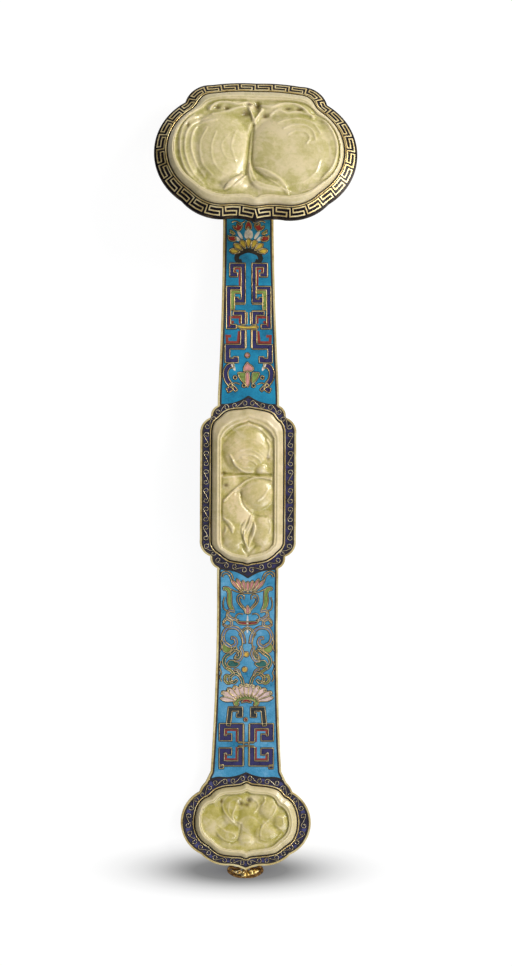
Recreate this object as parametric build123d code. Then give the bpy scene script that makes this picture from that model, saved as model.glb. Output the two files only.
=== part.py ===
from build123d import *
import os
from math import asin, atan2, cos, degrees, radians, sin

# A ruyi sceptre lying on its back: +Z is the way its face looks, +Y runs to the head.
# The origin is under the middle of its overall box, on the surface it lies on.

# Overall sizes
overall_length = 450.0
arch_rise = 19.0

# Head plaque, in the plane of its own face
head_width = 114.4
head_length = 87.6
head_lobe_easing = 10.0
head_tilt = 25.0
head_turn = 1.0
head_centre_height = 39.0
head_thickness = 12.0
head_border_width = 6.4
head_border_drop = 3.0
head_rim_height = 1.3
head_rim_line = 0.7
head_wall = 1.1

# Shaft, whose line runs a little to the left of the head's middle
shaft_offset = 3.2
shaft_depth = 9.0
shaft_neck_width = 28.4
shaft_upper_width = 29.8
shaft_middle_width = 34.4
shaft_waist_width = 34.7
shaft_tail_width = 39.8
shaft_foot_width = 51.0
shaft_wall = 1.2
plate_thickness = 1.5
enamel_depth = 0.7
edge_width = 1.6
wire_width = 0.45
neck_bend_radius = 26.0
neck_lift = 60.0
back_margin = 2.6
back_enamel_depth = 0.6

# Middle and tail plaques
middle_width = 54.0
middle_length = 102.6
tail_width = 73.7
tail_length = 55.8
seat_margin = 2.0
border_width = 7.1

# Stone seats and bezels
seat_gap = 0.2
bezel_wall = 0.6
bezel_height = 1.0
bezel_step = 0.25
seat_depth = 2.2
seat_floor = 0.8
bedding_thickness = 0.8
stone_edge_height = 1.1
head_bevel_width = 3.6
head_bevel_height = 2.6
head_frame_line = 1.6
small_bevel_width = 2.3
small_bevel_height = 1.8
small_frame_line = 1.0
ground_depth = 1.1

# Fretwork of the head's border
fret_count = 32
fret_wire = 0.62
fret_height = 0.2
fret_gap = 0.85

# Neck saddle and its rivets
saddle_width = 44.0
saddle_length = 30.0
saddle_thickness = 1.6
rivet_radius = 1.1
rivet_head_radius = 1.9
rivet_head_height = 0.9
rivet_inset = 5.2

# Tassel loop, its staple and pin
loop_width = 20.3
loop_overhang = 4.85
loop_thickness = 1.7
loop_rim = 1.7
loop_body_width = 3.4
loop_body_height = 1.1
loop_barrel_radius = 1.6
loop_barrel_length = 6.8
pivot_setback = 4.4
pivot_height = 2.5
pin_radius = 0.75
pin_clearance = 0.05
pin_head_radius = 1.2
pin_head_length = 0.7
side_clearance = 0.3
ear_thickness = 1.1
ear_radius = 1.9
staple_thickness = 1.2
niche_setback = 7.4
staple_margin = 1.6
niche_width = 22.4
niche_height = 4.6

# Distance from the tail plaque's centre to the middle plaque's, as a share of the overall length
middle_place_share = 0.4204

# Each pair of opposite bends as a share of the largest pair that fits between its two flats
lower_bend_share = 0.852
upper_bend_share = 0.529

# Size of the head's flat back as a share of its rim
head_back_share = 0.84

# Places on each outline as shares of its half width and half length, every second one mid-arc
head_outline_shares = [
    (0, 1), (0.23, 0.998), (0.44, 0.965), (0.60, 0.90), (0.70, 0.705), (0.985, 0.17),
    (0.722, -0.72), (0.55, -0.90), (0.30, -0.965), (0.14, -0.955), (0, -1)]
middle_outline_shares = [
    (0, 1), (0.22, 0.935), (0.52, 0.905), (0.72, 0.865), (0.78, 0.765), (0.945, 0.70), (1, 0.575),
    (1.003, 0), (1, -0.575), (0.945, -0.70), (0.78, -0.765), (0.72, -0.865), (0.52, -0.905),
    (0.22, -0.935), (0, -1)]
tail_outline_shares = [
    (0, 0.98), (0.16, 0.90), (0.36, 0.88), (0.60, 0.80), (0.715, 0.585), (0.998, 0.02),
    (0.685, -0.68), (0.50, -0.85), (0.25, -0.905), (0.11, -0.935), (0, -1)]

# Right half of the tassel loop's outer edge: shares of its half width and of its reach from the hinge
loop_edge_shares = [
    (0.28, 0), (0.36, 0.30), (0.62, 0.34), (1.0, 0.42), (0.92, 0.72), (0.60, 0.93), (0, 1)]

# Peach domes of each stone: place as shares of the half sizes, spread and height as shares of the half width
head_peach_shares = [(-0.43, 0.01, 0.42, 0.06), (0.39, 0.02, 0.46, 0.065)]
middle_peach_shares = [(-0.06, 0.46, 0.62, 0.075), (0.20, -0.09, 0.46, 0.07), (-0.02, -0.56, 0.50, 0.065)]
tail_peach_shares = [(-0.28, 0.22, 0.34, 0.05), (0.30, 0.20, 0.35, 0.05)]

# Plan of the shaft: how far along each bowed side its narrowest place lies
upper_bow_share = 0.42
lower_bow_share = 0.44
overrun = 4.0

# Places along the length
tail_tip_y = loop_overhang - overall_length / 2
tail_centre_y = tail_tip_y + tail_length / 2
middle_centre_y = tail_centre_y + middle_place_share * overall_length
head_centre_y = (overall_length / 2 - head_length / 2 * cos(radians(head_tilt))
                 + head_border_drop * sin(radians(head_tilt)))
tail_face_z = shaft_depth
middle_face_z = shaft_depth + arch_rise
tail_seat_end = tail_centre_y + tail_length / 2 + seat_margin
middle_seat_start = middle_centre_y - middle_length / 2 - seat_margin
middle_seat_end = middle_centre_y + middle_length / 2 + seat_margin

# Planes of the three stone seats
tail_plane = Plane(origin=(0, tail_centre_y, tail_face_z))
middle_plane = Plane(origin=(0, middle_centre_y, middle_face_z))
head_normal = Vector(0, sin(radians(head_tilt)), cos(radians(head_tilt)))
head_up = Vector(0, cos(radians(head_tilt)), -sin(radians(head_tilt)))
head_across = Vector(1, 0, 0) * cos(radians(head_turn)) - head_up * sin(radians(head_turn))
head_centre = Vector(shaft_offset, head_centre_y, head_centre_height)
head_plane = Plane(origin=head_centre, x_dir=head_across, z_dir=head_normal)
neck_end = Vector(0, head_centre_y, head_centre_height) - head_normal * (head_thickness + saddle_thickness)
saddle_plane = Plane(origin=neck_end, x_dir=(1, 0, 0), z_dir=head_normal)


def normal_at(slope):
    """Upward normal of the side profile where it climbs at this angle, in radians."""
    return Vector(-sin(slope), cos(slope))


def neck_centre():
    """Centre of the neck's bend, placed so that the neck's back touches the ground plane."""
    lift = radians(neck_lift)
    height = neck_bend_radius + shaft_depth
    back = saddle_plane.origin
    reach = cos(lift) * (back.Z - height) + neck_bend_radius + shaft_depth / 2
    return Vector(back.Y - reach / sin(lift), height)


def fullest_pair(run):
    """Sum of the radii of the largest two opposite bends that take up the arch's rise in this run."""
    return (run ** 2 + arch_rise ** 2) / (2 * arch_rise)


def profile(depth):
    """Side profile of the shaft at this depth under its face: flats joined by tangent bends."""
    bend_4 = neck_centre()
    lower_radius = lower_bend_share * fullest_pair(middle_seat_start - tail_seat_end) / 2
    upper_radius = upper_bend_share * fullest_pair(bend_4.X - middle_seat_end) - neck_bend_radius
    bend_1 = Vector(tail_seat_end, tail_face_z + lower_radius)
    bend_2 = Vector(middle_seat_start, middle_face_z - lower_radius)
    bend_3 = Vector(middle_seat_end, middle_face_z - upper_radius)
    climb = bend_2 - bend_1
    fall = bend_4 - bend_3
    up = atan2(climb.Y, climb.X) + asin(2 * lower_radius / climb.length)
    down = atan2(fall.Y, fall.X) - asin((upper_radius + neck_bend_radius) / fall.length)
    lift = radians(neck_lift)
    # Each bend: centre, signed radius at this depth, and the slopes it joins
    bends = [
        (bend_1, -(lower_radius + depth), 0, up),
        (bend_2, lower_radius - depth, up, 0),
        (bend_3, upper_radius - depth, 0, down),
        (bend_4, -(neck_bend_radius + depth), down, lift)]
    edges = []
    last = Vector(tail_tip_y - overrun, tail_face_z - depth)
    for centre, radius, slope_in, slope_out in bends:
        first = centre + normal_at(slope_in) * radius
        middle = centre + normal_at((slope_in + slope_out) / 2) * radius
        final = centre + normal_at(slope_out) * radius
        edges.append(Line(last, first))
        edges.append(ThreePointArc(first, middle, final))
        last = final
    neck_reach = head_thickness + shaft_depth + overrun
    edges.append(Line(last, last + Vector(cos(lift), sin(lift)) * neck_reach))
    return edges


def layer(top, bottom):
    """Curved slab between two depths under the shaft's face, wider than any part of it."""
    upper = profile(top)
    lower = profile(bottom)
    ends = [Line(upper[0] @ 0, lower[0] @ 0), Line(upper[-1] @ 1, lower[-1] @ 1)]
    return extrude(Plane.YZ * make_face(upper + lower + ends), amount=head_width, both=True)


def lobed_outline(width, length, shares):
    """Face inside a lobed outline made of arcs and mirrored about its long line."""
    places = [(x * width / 2, y * length / 2) for x, y in shares]
    right = [ThreePointArc(*places[i:i + 3]) for i in range(0, len(places) - 2, 2)]
    left = [mirror(edge, about=Plane.YZ) for edge in right]
    return make_face(right + left)


def inset(face, amount):
    """The same outline drawn in by a margin all round."""
    return offset(face, amount=-amount, kind=Kind.ARC)


def eased(face, radius):
    """An outline with the three joints of its top lobe rounded off."""
    return fillet(face.vertices().sort_by(Axis.Y)[-3:], radius)


head_outline = eased(lobed_outline(head_width, head_length, head_outline_shares), head_lobe_easing)
middle_outline = lobed_outline(middle_width, middle_length, middle_outline_shares)
tail_outline = lobed_outline(tail_width, tail_length, tail_outline_shares)


def band_side():
    """Right side of the shaft in plan, from behind the head to its foot on the tail plaque."""
    neck_y = head_centre_y + head_length / 2
    lip_y = head_centre_y - head_length / 2
    top_y = middle_centre_y + middle_length / 2
    low_y = middle_centre_y - middle_length / 2
    foot_y = tail_centre_y + tail_length / 2
    upper_y = lip_y - (lip_y - top_y) * upper_bow_share
    waist_y = low_y - (low_y - foot_y) * lower_bow_share
    notch_y = tail_centre_y + tail_length / 2 * tail_outline_shares[4][1]
    return [
        Line((shaft_neck_width / 2, neck_y), (shaft_neck_width / 2, lip_y)),
        ThreePointArc((shaft_neck_width / 2, lip_y), (shaft_upper_width / 2, upper_y),
                      (shaft_middle_width / 2, top_y)),
        Line((shaft_middle_width / 2, top_y), (shaft_middle_width / 2, low_y)),
        ThreePointArc((shaft_middle_width / 2, low_y), (shaft_waist_width / 2, waist_y),
                      (shaft_tail_width / 2, foot_y)),
        Line((shaft_tail_width / 2, foot_y), (shaft_foot_width / 2, notch_y))]


def plan_outline():
    """Plan of the whole body below the head: shaft, middle plaque and tail plaque in one face."""
    right = band_side()
    left = [mirror(edge, about=Plane.YZ) for edge in right]
    ends = [Line(right[0] @ 0, left[0] @ 0), Line(right[-1] @ 1, left[-1] @ 1)]
    band = make_face(right + left + ends)
    return band + Pos(0, middle_centre_y) * middle_outline + Pos(0, tail_centre_y) * tail_outline


def pillar(face):
    """A plan face raised through the full height of the body."""
    return extrude(Pos(0, 0, -overrun) * face, amount=head_thickness + head_width)


def behind_head(solid):
    """What is left of a solid once it stops at the back of the neck's saddle."""
    return split(solid, bisect_by=saddle_plane, keep=Keep.BOTTOM)


plan_face = plan_outline()
inner_plan = inset(plan_face, edge_width)
middle_place = Pos(0, middle_centre_y)
tail_place = Pos(0, tail_centre_y)
bezel_outer_inset = border_width - seat_gap - bezel_wall
panel_layer = layer(0, enamel_depth)


def strip(low_y, high_y):
    """Plan rectangle across the body between two places along it."""
    return Pos(0, (low_y + high_y) / 2) * Rectangle(head_width, high_y - low_y)


def panel(face):
    """An enamel panel let into the face of the shaft."""
    return behind_head(pillar(face) & panel_layer)


head_reach = head_centre_y + head_length
upper_panel = panel((inner_plan & strip(middle_centre_y, head_reach)) - middle_place * middle_outline)
lower_panel = panel((inner_plan & strip(tail_centre_y, middle_centre_y))
                    - middle_place * middle_outline - tail_place * tail_outline)
middle_border = panel((inner_plan & middle_place * inset(middle_outline, wire_width))
                      - middle_place * inset(middle_outline, bezel_outer_inset))
tail_border = panel((inner_plan & tail_place * inset(tail_outline, wire_width))
                    - tail_place * inset(tail_outline, bezel_outer_inset))


def prism(face, plane, bottom, top):
    """A face raised between two heights over a seat's plane."""
    return extrude(plane.offset(bottom) * face, amount=top - bottom)


def mound(face, height, slope):
    """A face raised from the flat with all its sides leaning in by an angle."""
    solid = extrude(face, amount=height, taper=slope)
    return solid if solid.center().Z > 0 else mirror(solid, about=Plane.XY)


def pocket(outline, width, plane):
    """Hollow in a seat that takes the bedding and the stone."""
    return prism(inset(outline, width - seat_gap), plane, -seat_depth, overrun)


def tray(outline, width, plane):
    """Cup pressed into the plate round the pocket."""
    return prism(inset(outline, width - seat_gap - bezel_wall), plane, -seat_depth - seat_floor, 0)


def bezel(outline, width, plane):
    """Gilt collar that stands round the stone, with a fine step outside."""
    hole = inset(outline, width - seat_gap)
    collar = prism(inset(outline, width - seat_gap - bezel_wall), plane, 0, bezel_height - bezel_step)
    lip = prism(inset(outline, width - seat_gap - bezel_wall / 2), plane, 0, bezel_height)
    return collar + lip - prism(hole, plane, -overrun, overrun)


def bedding(outline, width, plane):
    """Layer of hardened lacquer paste under a stone."""
    return prism(inset(outline, width - seat_gap), plane, -seat_depth, bedding_thickness - seat_depth)


def stone(outline, width, plane, size, bevel, peaches):
    """Jade plaque: upright edge, sloping moulding, raised line, sunk ground and peach domes."""
    bevel_width, bevel_height, line_width = bevel
    girdle = inset(outline, width)
    top = stone_edge_height + bevel_height
    slope = degrees(atan2(bevel_width, bevel_height))
    body = prism(girdle, plane, bedding_thickness - seat_depth, stone_edge_height)
    body += plane.offset(stone_edge_height) * mound(girdle, bevel_height, slope)
    ground = inset(outline, width + bevel_width + line_width)
    body -= prism(ground, plane, top - ground_depth, top + overrun)
    field = inset(ground, seat_gap)
    half_width = size[0] / 2 - width
    half_length = size[1] / 2 - width
    for place_x, place_y, spread, height in peaches:
        reach = spread * half_width
        rise = height * half_width + ground_depth
        ball_radius = (reach ** 2 + rise ** 2) / (2 * rise)
        low = top - ground_depth - bedding_thickness
        centre = plane.offset(low + rise - ball_radius + bedding_thickness)
        ball = centre * (Pos(place_x * half_width, place_y * half_length) * Sphere(ball_radius))
        body += ball & prism(field, plane, low, top + overrun)
    return body


# Head: sloping border, back dish and seat
slope_angle = degrees(atan2(head_border_width, head_border_drop))
head_size = (head_width, head_length)
head_seat_width = head_border_width + bezel_wall + seat_gap


def border_cone(shift):
    """Solid under the sloping border, moved by a distance along the head's normal."""
    return head_plane.offset(shift - head_border_drop) * mound(head_outline, head_border_drop, slope_angle)


def border_ring(shift):
    """The cone without the flat middle that carries the stone."""
    middle = prism(inset(head_outline, head_border_width), head_plane, -head_thickness, overrun)
    return border_cone(shift) - middle


def head_border():
    """Enamel band let into the slope, inside a fine metal line at the outer edge."""
    depth = enamel_depth / cos(atan2(head_border_drop, head_border_width))
    band = border_ring(0) - border_cone(-depth)
    return band & prism(inset(head_outline, head_rim_line), head_plane, -head_thickness, overrun)


def fret_solids():
    """Key-fret wires: one long strip bent square, three runs deep, in equal lengths round the border."""
    middle_line = inset(head_outline, head_border_width / 2 + head_rim_line / 2).wire()
    length = middle_line.length
    pitch = length / fret_count
    start = middle_line.param_at_point(middle_line.vertices().sort_by(Axis.Y)[0])
    half_band = (head_border_width - head_rim_line) / 2 - fret_gap
    wire = fret_wire / 2
    back = fret_gap + fret_wire

    def place(along, across):
        share = (start + along / length) % 1
        point = middle_line.position_at(share)
        run = middle_line.tangent_at(share)
        return point + Vector(-run.Y, run.X) * across

    def bar(first, last, row_low, row_high):
        """Flat strip between two places along the border and two rows across it."""
        middle = (first + last) / 2
        corners = [place(first, row_low), place(middle, row_low), place(last, row_low),
                   place(last, row_high), place(middle, row_high), place(first, row_high)]
        return make_face(Polyline(*corners, close=True))

    cap = border_ring(fret_height) - border_cone(0)
    rows = [-half_band, 0, half_band]
    solids = []
    for number in range(fret_count):
        here = number * pitch - (fret_gap + fret_wire) / 2
        there = here + pitch
        face = bar(here - wire, here + wire, rows[0] - wire, rows[2] + wire)
        face += bar(here - wire, there - back, rows[0] - wire, rows[0] + wire)
        face += bar(there - back - fret_wire, there - back, rows[0] - wire, rows[1] + wire)
        face += bar(here + back, there - back, rows[1] - wire, rows[1] + wire)
        face += bar(here + back, here + back + fret_wire, rows[1] - wire, rows[2] + wire)
        face += bar(here + back, there - wire, rows[2] - wire, rows[2] + wire)
        solids.append(prism(face, head_plane, -head_border_drop - fret_height, overrun) & cap)
    return solids


head_dish_depth = head_thickness - head_border_drop - head_rim_height


def bowl(face, depth):
    """A face sunk to a depth under the head's rim, drawn in evenly on its way down."""
    rim = head_plane.offset(-head_border_drop - head_rim_height)
    share = 1 - (1 - head_back_share) * depth / head_dish_depth
    return loft([rim * face, rim.offset(-depth) * scale(face, by=share)], ruled=True)


def head_dish():
    """Hollow back of the head, drawn in towards a flat where the neck joins."""
    hollow = bowl(inset(head_outline, head_wall), head_dish_depth - head_wall)
    return bowl(head_outline, head_dish_depth) - hollow


def head_plate():
    """Front of the head: upright rim, sloping border and the cup for the stone."""
    rim = prism(head_outline, head_plane, -head_border_drop - head_rim_height, -head_border_drop)
    skin = border_cone(0) + rim
    hollow = border_cone(-plate_thickness) & prism(inset(head_outline, head_wall + seat_gap), head_plane,
                                                   -head_thickness, overrun)
    under = prism(inset(head_outline, head_wall + seat_gap), head_plane,
                  -head_border_drop - head_rim_height - overrun, -head_border_drop - plate_thickness)
    shell = skin - hollow - under
    return shell + tray(head_outline, head_seat_width, head_plane)


# Neck saddle
def saddle_outline():
    """Oval plate that spreads the neck's end over the back of the head."""
    return Ellipse(saddle_width / 2, saddle_length / 2)


def saddle_places():
    """Places of the four rivets on the saddle."""
    return [Pos(x * (saddle_width / 2 - rivet_inset), y * rivet_inset) for x in (-1, 1) for y in (-1, 1)]


def rivet(place):
    """One rivet: bevelled head on the saddle, shank through the saddle and the dish."""
    shank = prism(place * Circle(rivet_radius), saddle_plane, 0, saddle_thickness + head_wall)
    head = saddle_plane * (place * Cylinder(rivet_head_radius, rivet_head_height,
                                            align=(Align.CENTER, Align.CENTER, Align.MAX)))
    rim = head.edges().sort_by(Axis((0, 0, 0), tuple(saddle_plane.z_dir)))[0]
    return chamfer(rim, rivet_head_height / 2) + shank


# Tassel loop
pivot_y = tail_tip_y + pivot_setback
wall_y = tail_tip_y + niche_setback
loop_end_y = -overall_length / 2
loop_reach = pivot_y - loop_end_y
loop_drop = degrees(asin((pivot_height - loop_thickness / 2) / loop_reach))
pivot_plane = Plane(origin=(0, pivot_y, pivot_height))
pin_axis_plane = Plane(origin=(0, pivot_y, pivot_height), x_dir=(0, 1, 0), z_dir=(1, 0, 0))
ear_start = loop_barrel_length / 2 + side_clearance


def rod(radius, start, end):
    """Round bar along the hinge's line between two places across the sceptre."""
    return extrude(pin_axis_plane.offset(start) * Circle(radius), amount=end - start)


def loop_shape():
    """Openwork bat loop: a barrel on the pin, two spread wings meeting below, and the bat's body."""
    places = [(x * loop_width / 2, -y * loop_reach) for x, y in loop_edge_shares]
    right = [Line((0, 0), places[0]), ThreePointArc(*places[0:3]), ThreePointArc(*places[2:5]),
             ThreePointArc(*places[4:7])]
    left = [mirror(edge, about=Plane.YZ) for edge in right]
    outside = make_face(right + left)
    window = inset(outside, loop_rim) & Rectangle(loop_width, 2 * (loop_reach - loop_rim))
    clear_top = loop_barrel_radius + loop_rim / 2
    window -= Rectangle(loop_width, 2 * clear_top)
    window -= Rectangle(loop_body_width, 4 * loop_reach)
    sheet = outside - window - Rectangle(loop_width, 2 * pin_radius)
    plate = extrude(sheet, amount=loop_thickness / 2, both=True)
    body_y = loop_rim + loop_body_width / 2 - loop_reach
    plate += Pos(0, body_y, loop_thickness / 2) * Cylinder(loop_body_width / 2, loop_body_height,
                                                          align=(Align.CENTER, Align.CENTER, Align.MIN))
    return plate


def tassel_loop():
    """The loop laid on the ground plane: turned down about its pin until it rests."""
    sheet = pivot_plane * (Rot(loop_drop, 0, 0) * loop_shape())
    half = loop_barrel_length / 2
    barrel = rod(loop_barrel_radius, -half, half)
    return sheet + barrel - rod(pin_radius + pin_clearance, -loop_width, loop_width)


def staple():
    """Bracket on the flat end wall of the tail, with two ears for the pin."""
    far = ear_start + ear_thickness
    plate_half = far + staple_margin
    plate_height = niche_height - 2 * side_clearance
    plate = Pos(0, wall_y - staple_thickness / 2, niche_height / 2) * Box(
        2 * plate_half, staple_thickness, plate_height)
    ears = []
    for side in (-1, 1):
        start = ear_start if side > 0 else -far
        eye = rod(ear_radius, start, start + ear_thickness)
        arm = Pos(start + ear_thickness / 2, (pivot_y + wall_y) / 2, pivot_height) * Box(
            ear_thickness, wall_y - pivot_y, 2 * ear_radius)
        ears.append(eye + arm)
    return plate + ears[0] + ears[1] - rod(pin_radius, -loop_width, loop_width)


def loop_pin():
    """Pin through both ears, headed over at each end."""
    far = ear_start + ear_thickness
    return (rod(pin_radius, -far, far) + rod(pin_head_radius, far, far + pin_head_length)
            + rod(pin_head_radius, -far - pin_head_length, -far))


# Shaft: front plate and back shell
def front_plate():
    """Gilt front plate with its enamel cells and the cups of the middle and tail stones."""
    plate = behind_head(pillar(plan_face) & layer(0, plate_thickness))
    for cell in (upper_panel, lower_panel, middle_border, tail_border):
        plate -= cell
    for outline, place in ((middle_outline, middle_plane), (tail_outline, tail_plane)):
        plate += tray(outline, border_width, place)
        plate -= pocket(outline, border_width, place)
    return plate


def niche(margin):
    """Room cut under the tail's tip for the loop, or with a margin the block that walls it in."""
    far_y = wall_y + margin
    near_y = tail_tip_y - overrun
    height = niche_height + margin + overrun
    return Pos(0, (near_y + far_y) / 2, height / 2 - overrun) * Box(
        niche_width + 2 * margin, far_y - near_y, height)


def back_panel():
    """Enamel panel let into the back of the shaft."""
    face = inset(plan_face, back_margin) & strip(wall_y + back_margin, head_reach)
    return behind_head(pillar(face) & layer(shaft_depth - back_enamel_depth, shaft_depth))


def back_shell():
    """Side walls and back of the hollow body, with a walled niche under the tail's tip for the loop."""
    body = pillar(plan_face) & layer(plate_thickness, shaft_depth)
    hollow = pillar(inset(plan_face, shaft_wall)) & layer(
        plate_thickness, shaft_depth - shaft_wall - back_enamel_depth)
    walls = behind_head(body - (hollow - niche(shaft_wall))) - niche(0)
    return walls - back_panel()


def save(shape, name):
    """Writes a node's solids with the middle of the head, the widest part, on the centre line."""
    solids = [Pos(-shaft_offset, 0, 0) * solid for solid in shape.solids()]
    export_step(Compound(children=solids), os.path.join("parts", name + ".step"))


def group(pieces):
    """Several solids kept apart in one node."""
    return Compound(children=[solid for piece in pieces for solid in piece.solids()])


def build():
    os.makedirs("parts", exist_ok=True)
    save(front_plate(), "shaft_front_plate")
    save(back_shell(), "shaft_back_shell")
    save(upper_panel, "upper_shaft_enamel")
    save(lower_panel, "lower_shaft_enamel")
    save(middle_border, "middle_border_enamel")
    save(tail_border, "tail_border_enamel")
    save(back_panel(), "back_enamel")
    save(head_plate() - head_border() - pocket(head_outline, head_seat_width, head_plane), "head_front_plate")
    rivets = [rivet(place) for place in saddle_places()]
    dish = head_dish()
    saddle = prism(saddle_outline(), saddle_plane, 0, saddle_thickness)
    for shank in rivets:
        dish -= shank
        saddle -= shank
    save(dish, "head_back_dish")
    save(saddle, "neck_saddle")
    save(group(rivets), "neck_rivets")
    save(head_border(), "head_border_enamel")
    save(group(fret_solids()), "head_fret_wires")
    head_bevel = (head_bevel_width, head_bevel_height, head_frame_line)
    small_bevel = (small_bevel_width, small_bevel_height, small_frame_line)
    seats = [
        ("head", head_outline, head_seat_width, head_plane, head_size, head_bevel, head_peach_shares),
        ("middle", middle_outline, border_width, middle_plane, (middle_width, middle_length), small_bevel,
         middle_peach_shares),
        ("tail", tail_outline, border_width, tail_plane, (tail_width, tail_length), small_bevel,
         tail_peach_shares)]
    for name, outline, width, plane, size, bevel, peaches in seats:
        save(bezel(outline, width, plane), name + "_bezel")
        save(stone(outline, width, plane, size, bevel, peaches), name + "_jade")
        save(bedding(outline, width, plane), name + "_bedding")
    save(tassel_loop(), "tassel_loop")
    save(staple(), "loop_staple")
    save(loop_pin(), "loop_pin")


build()
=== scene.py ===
import bmesh
import bpy
import numpy as np
from math import pi, radians
from mathutils import Matrix, Vector
from mathutils.bvhtree import BVHTree


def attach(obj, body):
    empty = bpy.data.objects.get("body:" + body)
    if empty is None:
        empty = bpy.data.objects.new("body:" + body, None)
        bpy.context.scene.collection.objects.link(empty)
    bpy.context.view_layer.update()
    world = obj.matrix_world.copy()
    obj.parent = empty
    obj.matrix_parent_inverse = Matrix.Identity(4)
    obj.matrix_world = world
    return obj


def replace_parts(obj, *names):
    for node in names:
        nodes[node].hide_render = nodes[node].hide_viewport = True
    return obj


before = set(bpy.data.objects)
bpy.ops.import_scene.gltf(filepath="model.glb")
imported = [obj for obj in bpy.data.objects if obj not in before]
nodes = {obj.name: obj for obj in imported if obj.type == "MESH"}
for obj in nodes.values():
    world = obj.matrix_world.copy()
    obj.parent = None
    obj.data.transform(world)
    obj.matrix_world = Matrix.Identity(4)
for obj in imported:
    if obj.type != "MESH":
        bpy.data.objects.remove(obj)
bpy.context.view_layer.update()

# Photographer's table: a white sheet lit by two soft boxes on the right, the weaker one low by the
# tail, in a tent that is bright on the right and dim on the left. The camera looks straight down on
# the sceptre, which lies on its back with its head to the top of the picture.
mm = 0.001
camera_height = 4.0
sensor_height = 24.0
picture_height = 0.5447
picture_level = 0.028
aim = Vector((0.0013, -0.0008, 0.024))
camera_roll = 0.25
camera_lean = -1.5


def linked(name, data):
    """A new object in the scene."""
    obj = bpy.data.objects.new(name, data)
    bpy.context.scene.collection.objects.link(obj)
    return obj


bpy.context.scene.view_settings.view_transform = "Standard"
camera = linked("camera", bpy.data.cameras.new("camera"))
bpy.context.scene.camera = camera
camera.data.sensor_fit = "VERTICAL"
camera.data.sensor_height = sensor_height
camera.data.lens = sensor_height * (camera_height - picture_level) / picture_height
camera.data.clip_end = 50.0
turn = Matrix.Rotation(radians(camera_roll), 4, "Z") @ Matrix.Rotation(radians(camera_lean), 4, "Y")
camera.matrix_world = Matrix.Translation(aim) @ turn @ Matrix.Translation((0, 0, camera_height - aim.z))


def soft_box(name, place, target, size, power, colour):
    """A square area lamp that looks at a place."""
    lamp = bpy.data.lights.new(name, "AREA")
    lamp.shape = "SQUARE"
    lamp.size = size
    lamp.energy = power
    lamp.color = colour
    look = (Vector(target) - Vector(place)).to_track_quat("-Z", "Y").to_matrix().to_4x4()
    linked(name, lamp).matrix_world = Matrix.Translation(place) @ look


soft_box("key_soft_box", (1.05, 0.75, 1.0), (0, 0.03, 0), size=0.5, power=17.0, colour=(1.0, 0.965, 0.90))
soft_box("fill_soft_box", (0.75, -0.85, 1.3), (0, -0.03, 0), size=0.7, power=9.0, colour=(0.98, 0.98, 1.0))


def add_node(tree, kind, values=(), **settings):
    """A new shader node with its settings, then the values of its inputs."""
    node = tree.nodes.new("ShaderNode" + kind)
    for key, value in settings.items():
        setattr(node, key, value)
    for key, value in dict(values).items():
        node.inputs[key].default_value = value
    return node


def join(tree, *links):
    """Joins nodes, each link being a node, its output, the next node and its input."""
    for start, outlet, end, inlet in links:
        tree.links.new(start.outputs[outlet], end.inputs[inlet])


tent_tint = (0.93, 0.96, 1.0, 1)
tent_reach = 0.8
tent_dim = 0.02
tent_bright = 0.72
world = bpy.data.worlds.new("white_tent")
bpy.context.scene.world = world
world.use_nodes = True
tent_tree = world.node_tree
tent = tent_tree.nodes["Background"]
tent.inputs["Color"].default_value = tent_tint
tent_way = add_node(tent_tree, "TexCoord")
tent_split = add_node(tent_tree, "SeparateXYZ")
tent_range = add_node(tent_tree, "MapRange", {
    "From Min": -tent_reach, "From Max": tent_reach, "To Min": tent_dim, "To Max": tent_bright})
tent_seen = add_node(tent_tree, "Background", {"Color": (1, 1, 1, 1)})
tent_mix = add_node(tent_tree, "MixShader")
tent_path = add_node(tent_tree, "LightPath")
join(tent_tree, (tent_way, "Generated", tent_split, "Vector"), (tent_split, "X", tent_range, "Value"),
     (tent_range, "Result", tent, "Strength"), (tent_path, "Is Camera Ray", tent_mix, "Fac"),
     (tent, "Background", tent_mix, 1), (tent_seen, "Background", tent_mix, 2),
     (tent_mix, "Shader", tent_tree.nodes["World Output"], "Surface"))

# White sheet under the sceptre. It stays white to the camera and keeps the soft shadow of what lies
# on it. Past the tail it darkens softly with a painted shadow, as if the sceptre stood in its own shade.
sheet_size = 3.0
sheet_drop = 0.0002
# Painted shadow past the tail: an oval painted into the sheet's colour, with its place, size and shades.
painted_shadow_place = (-0.006, -0.2205, 0)
painted_shadow_size = (0.093, 0.0195, 1)
painted_shadow_stops = ((0.15, 0.94), (0.27, 0.87), (0.40, 0.74), (0.50, 0.60), (0.63, 0.38), (0.72, 0.24))
painted_shadow_core = (0.14, 0.14, 0.15, 1)
paper_glow = 1.06
paper_glow_share = 0.88


def mesh_from(name, draft, *materials):
    """The mesh of a finished draft, with its materials."""
    mesh = bpy.data.meshes.new(name)
    draft.to_mesh(mesh)
    draft.free()
    for material in materials:
        mesh.materials.append(material)
    return mesh


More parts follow.
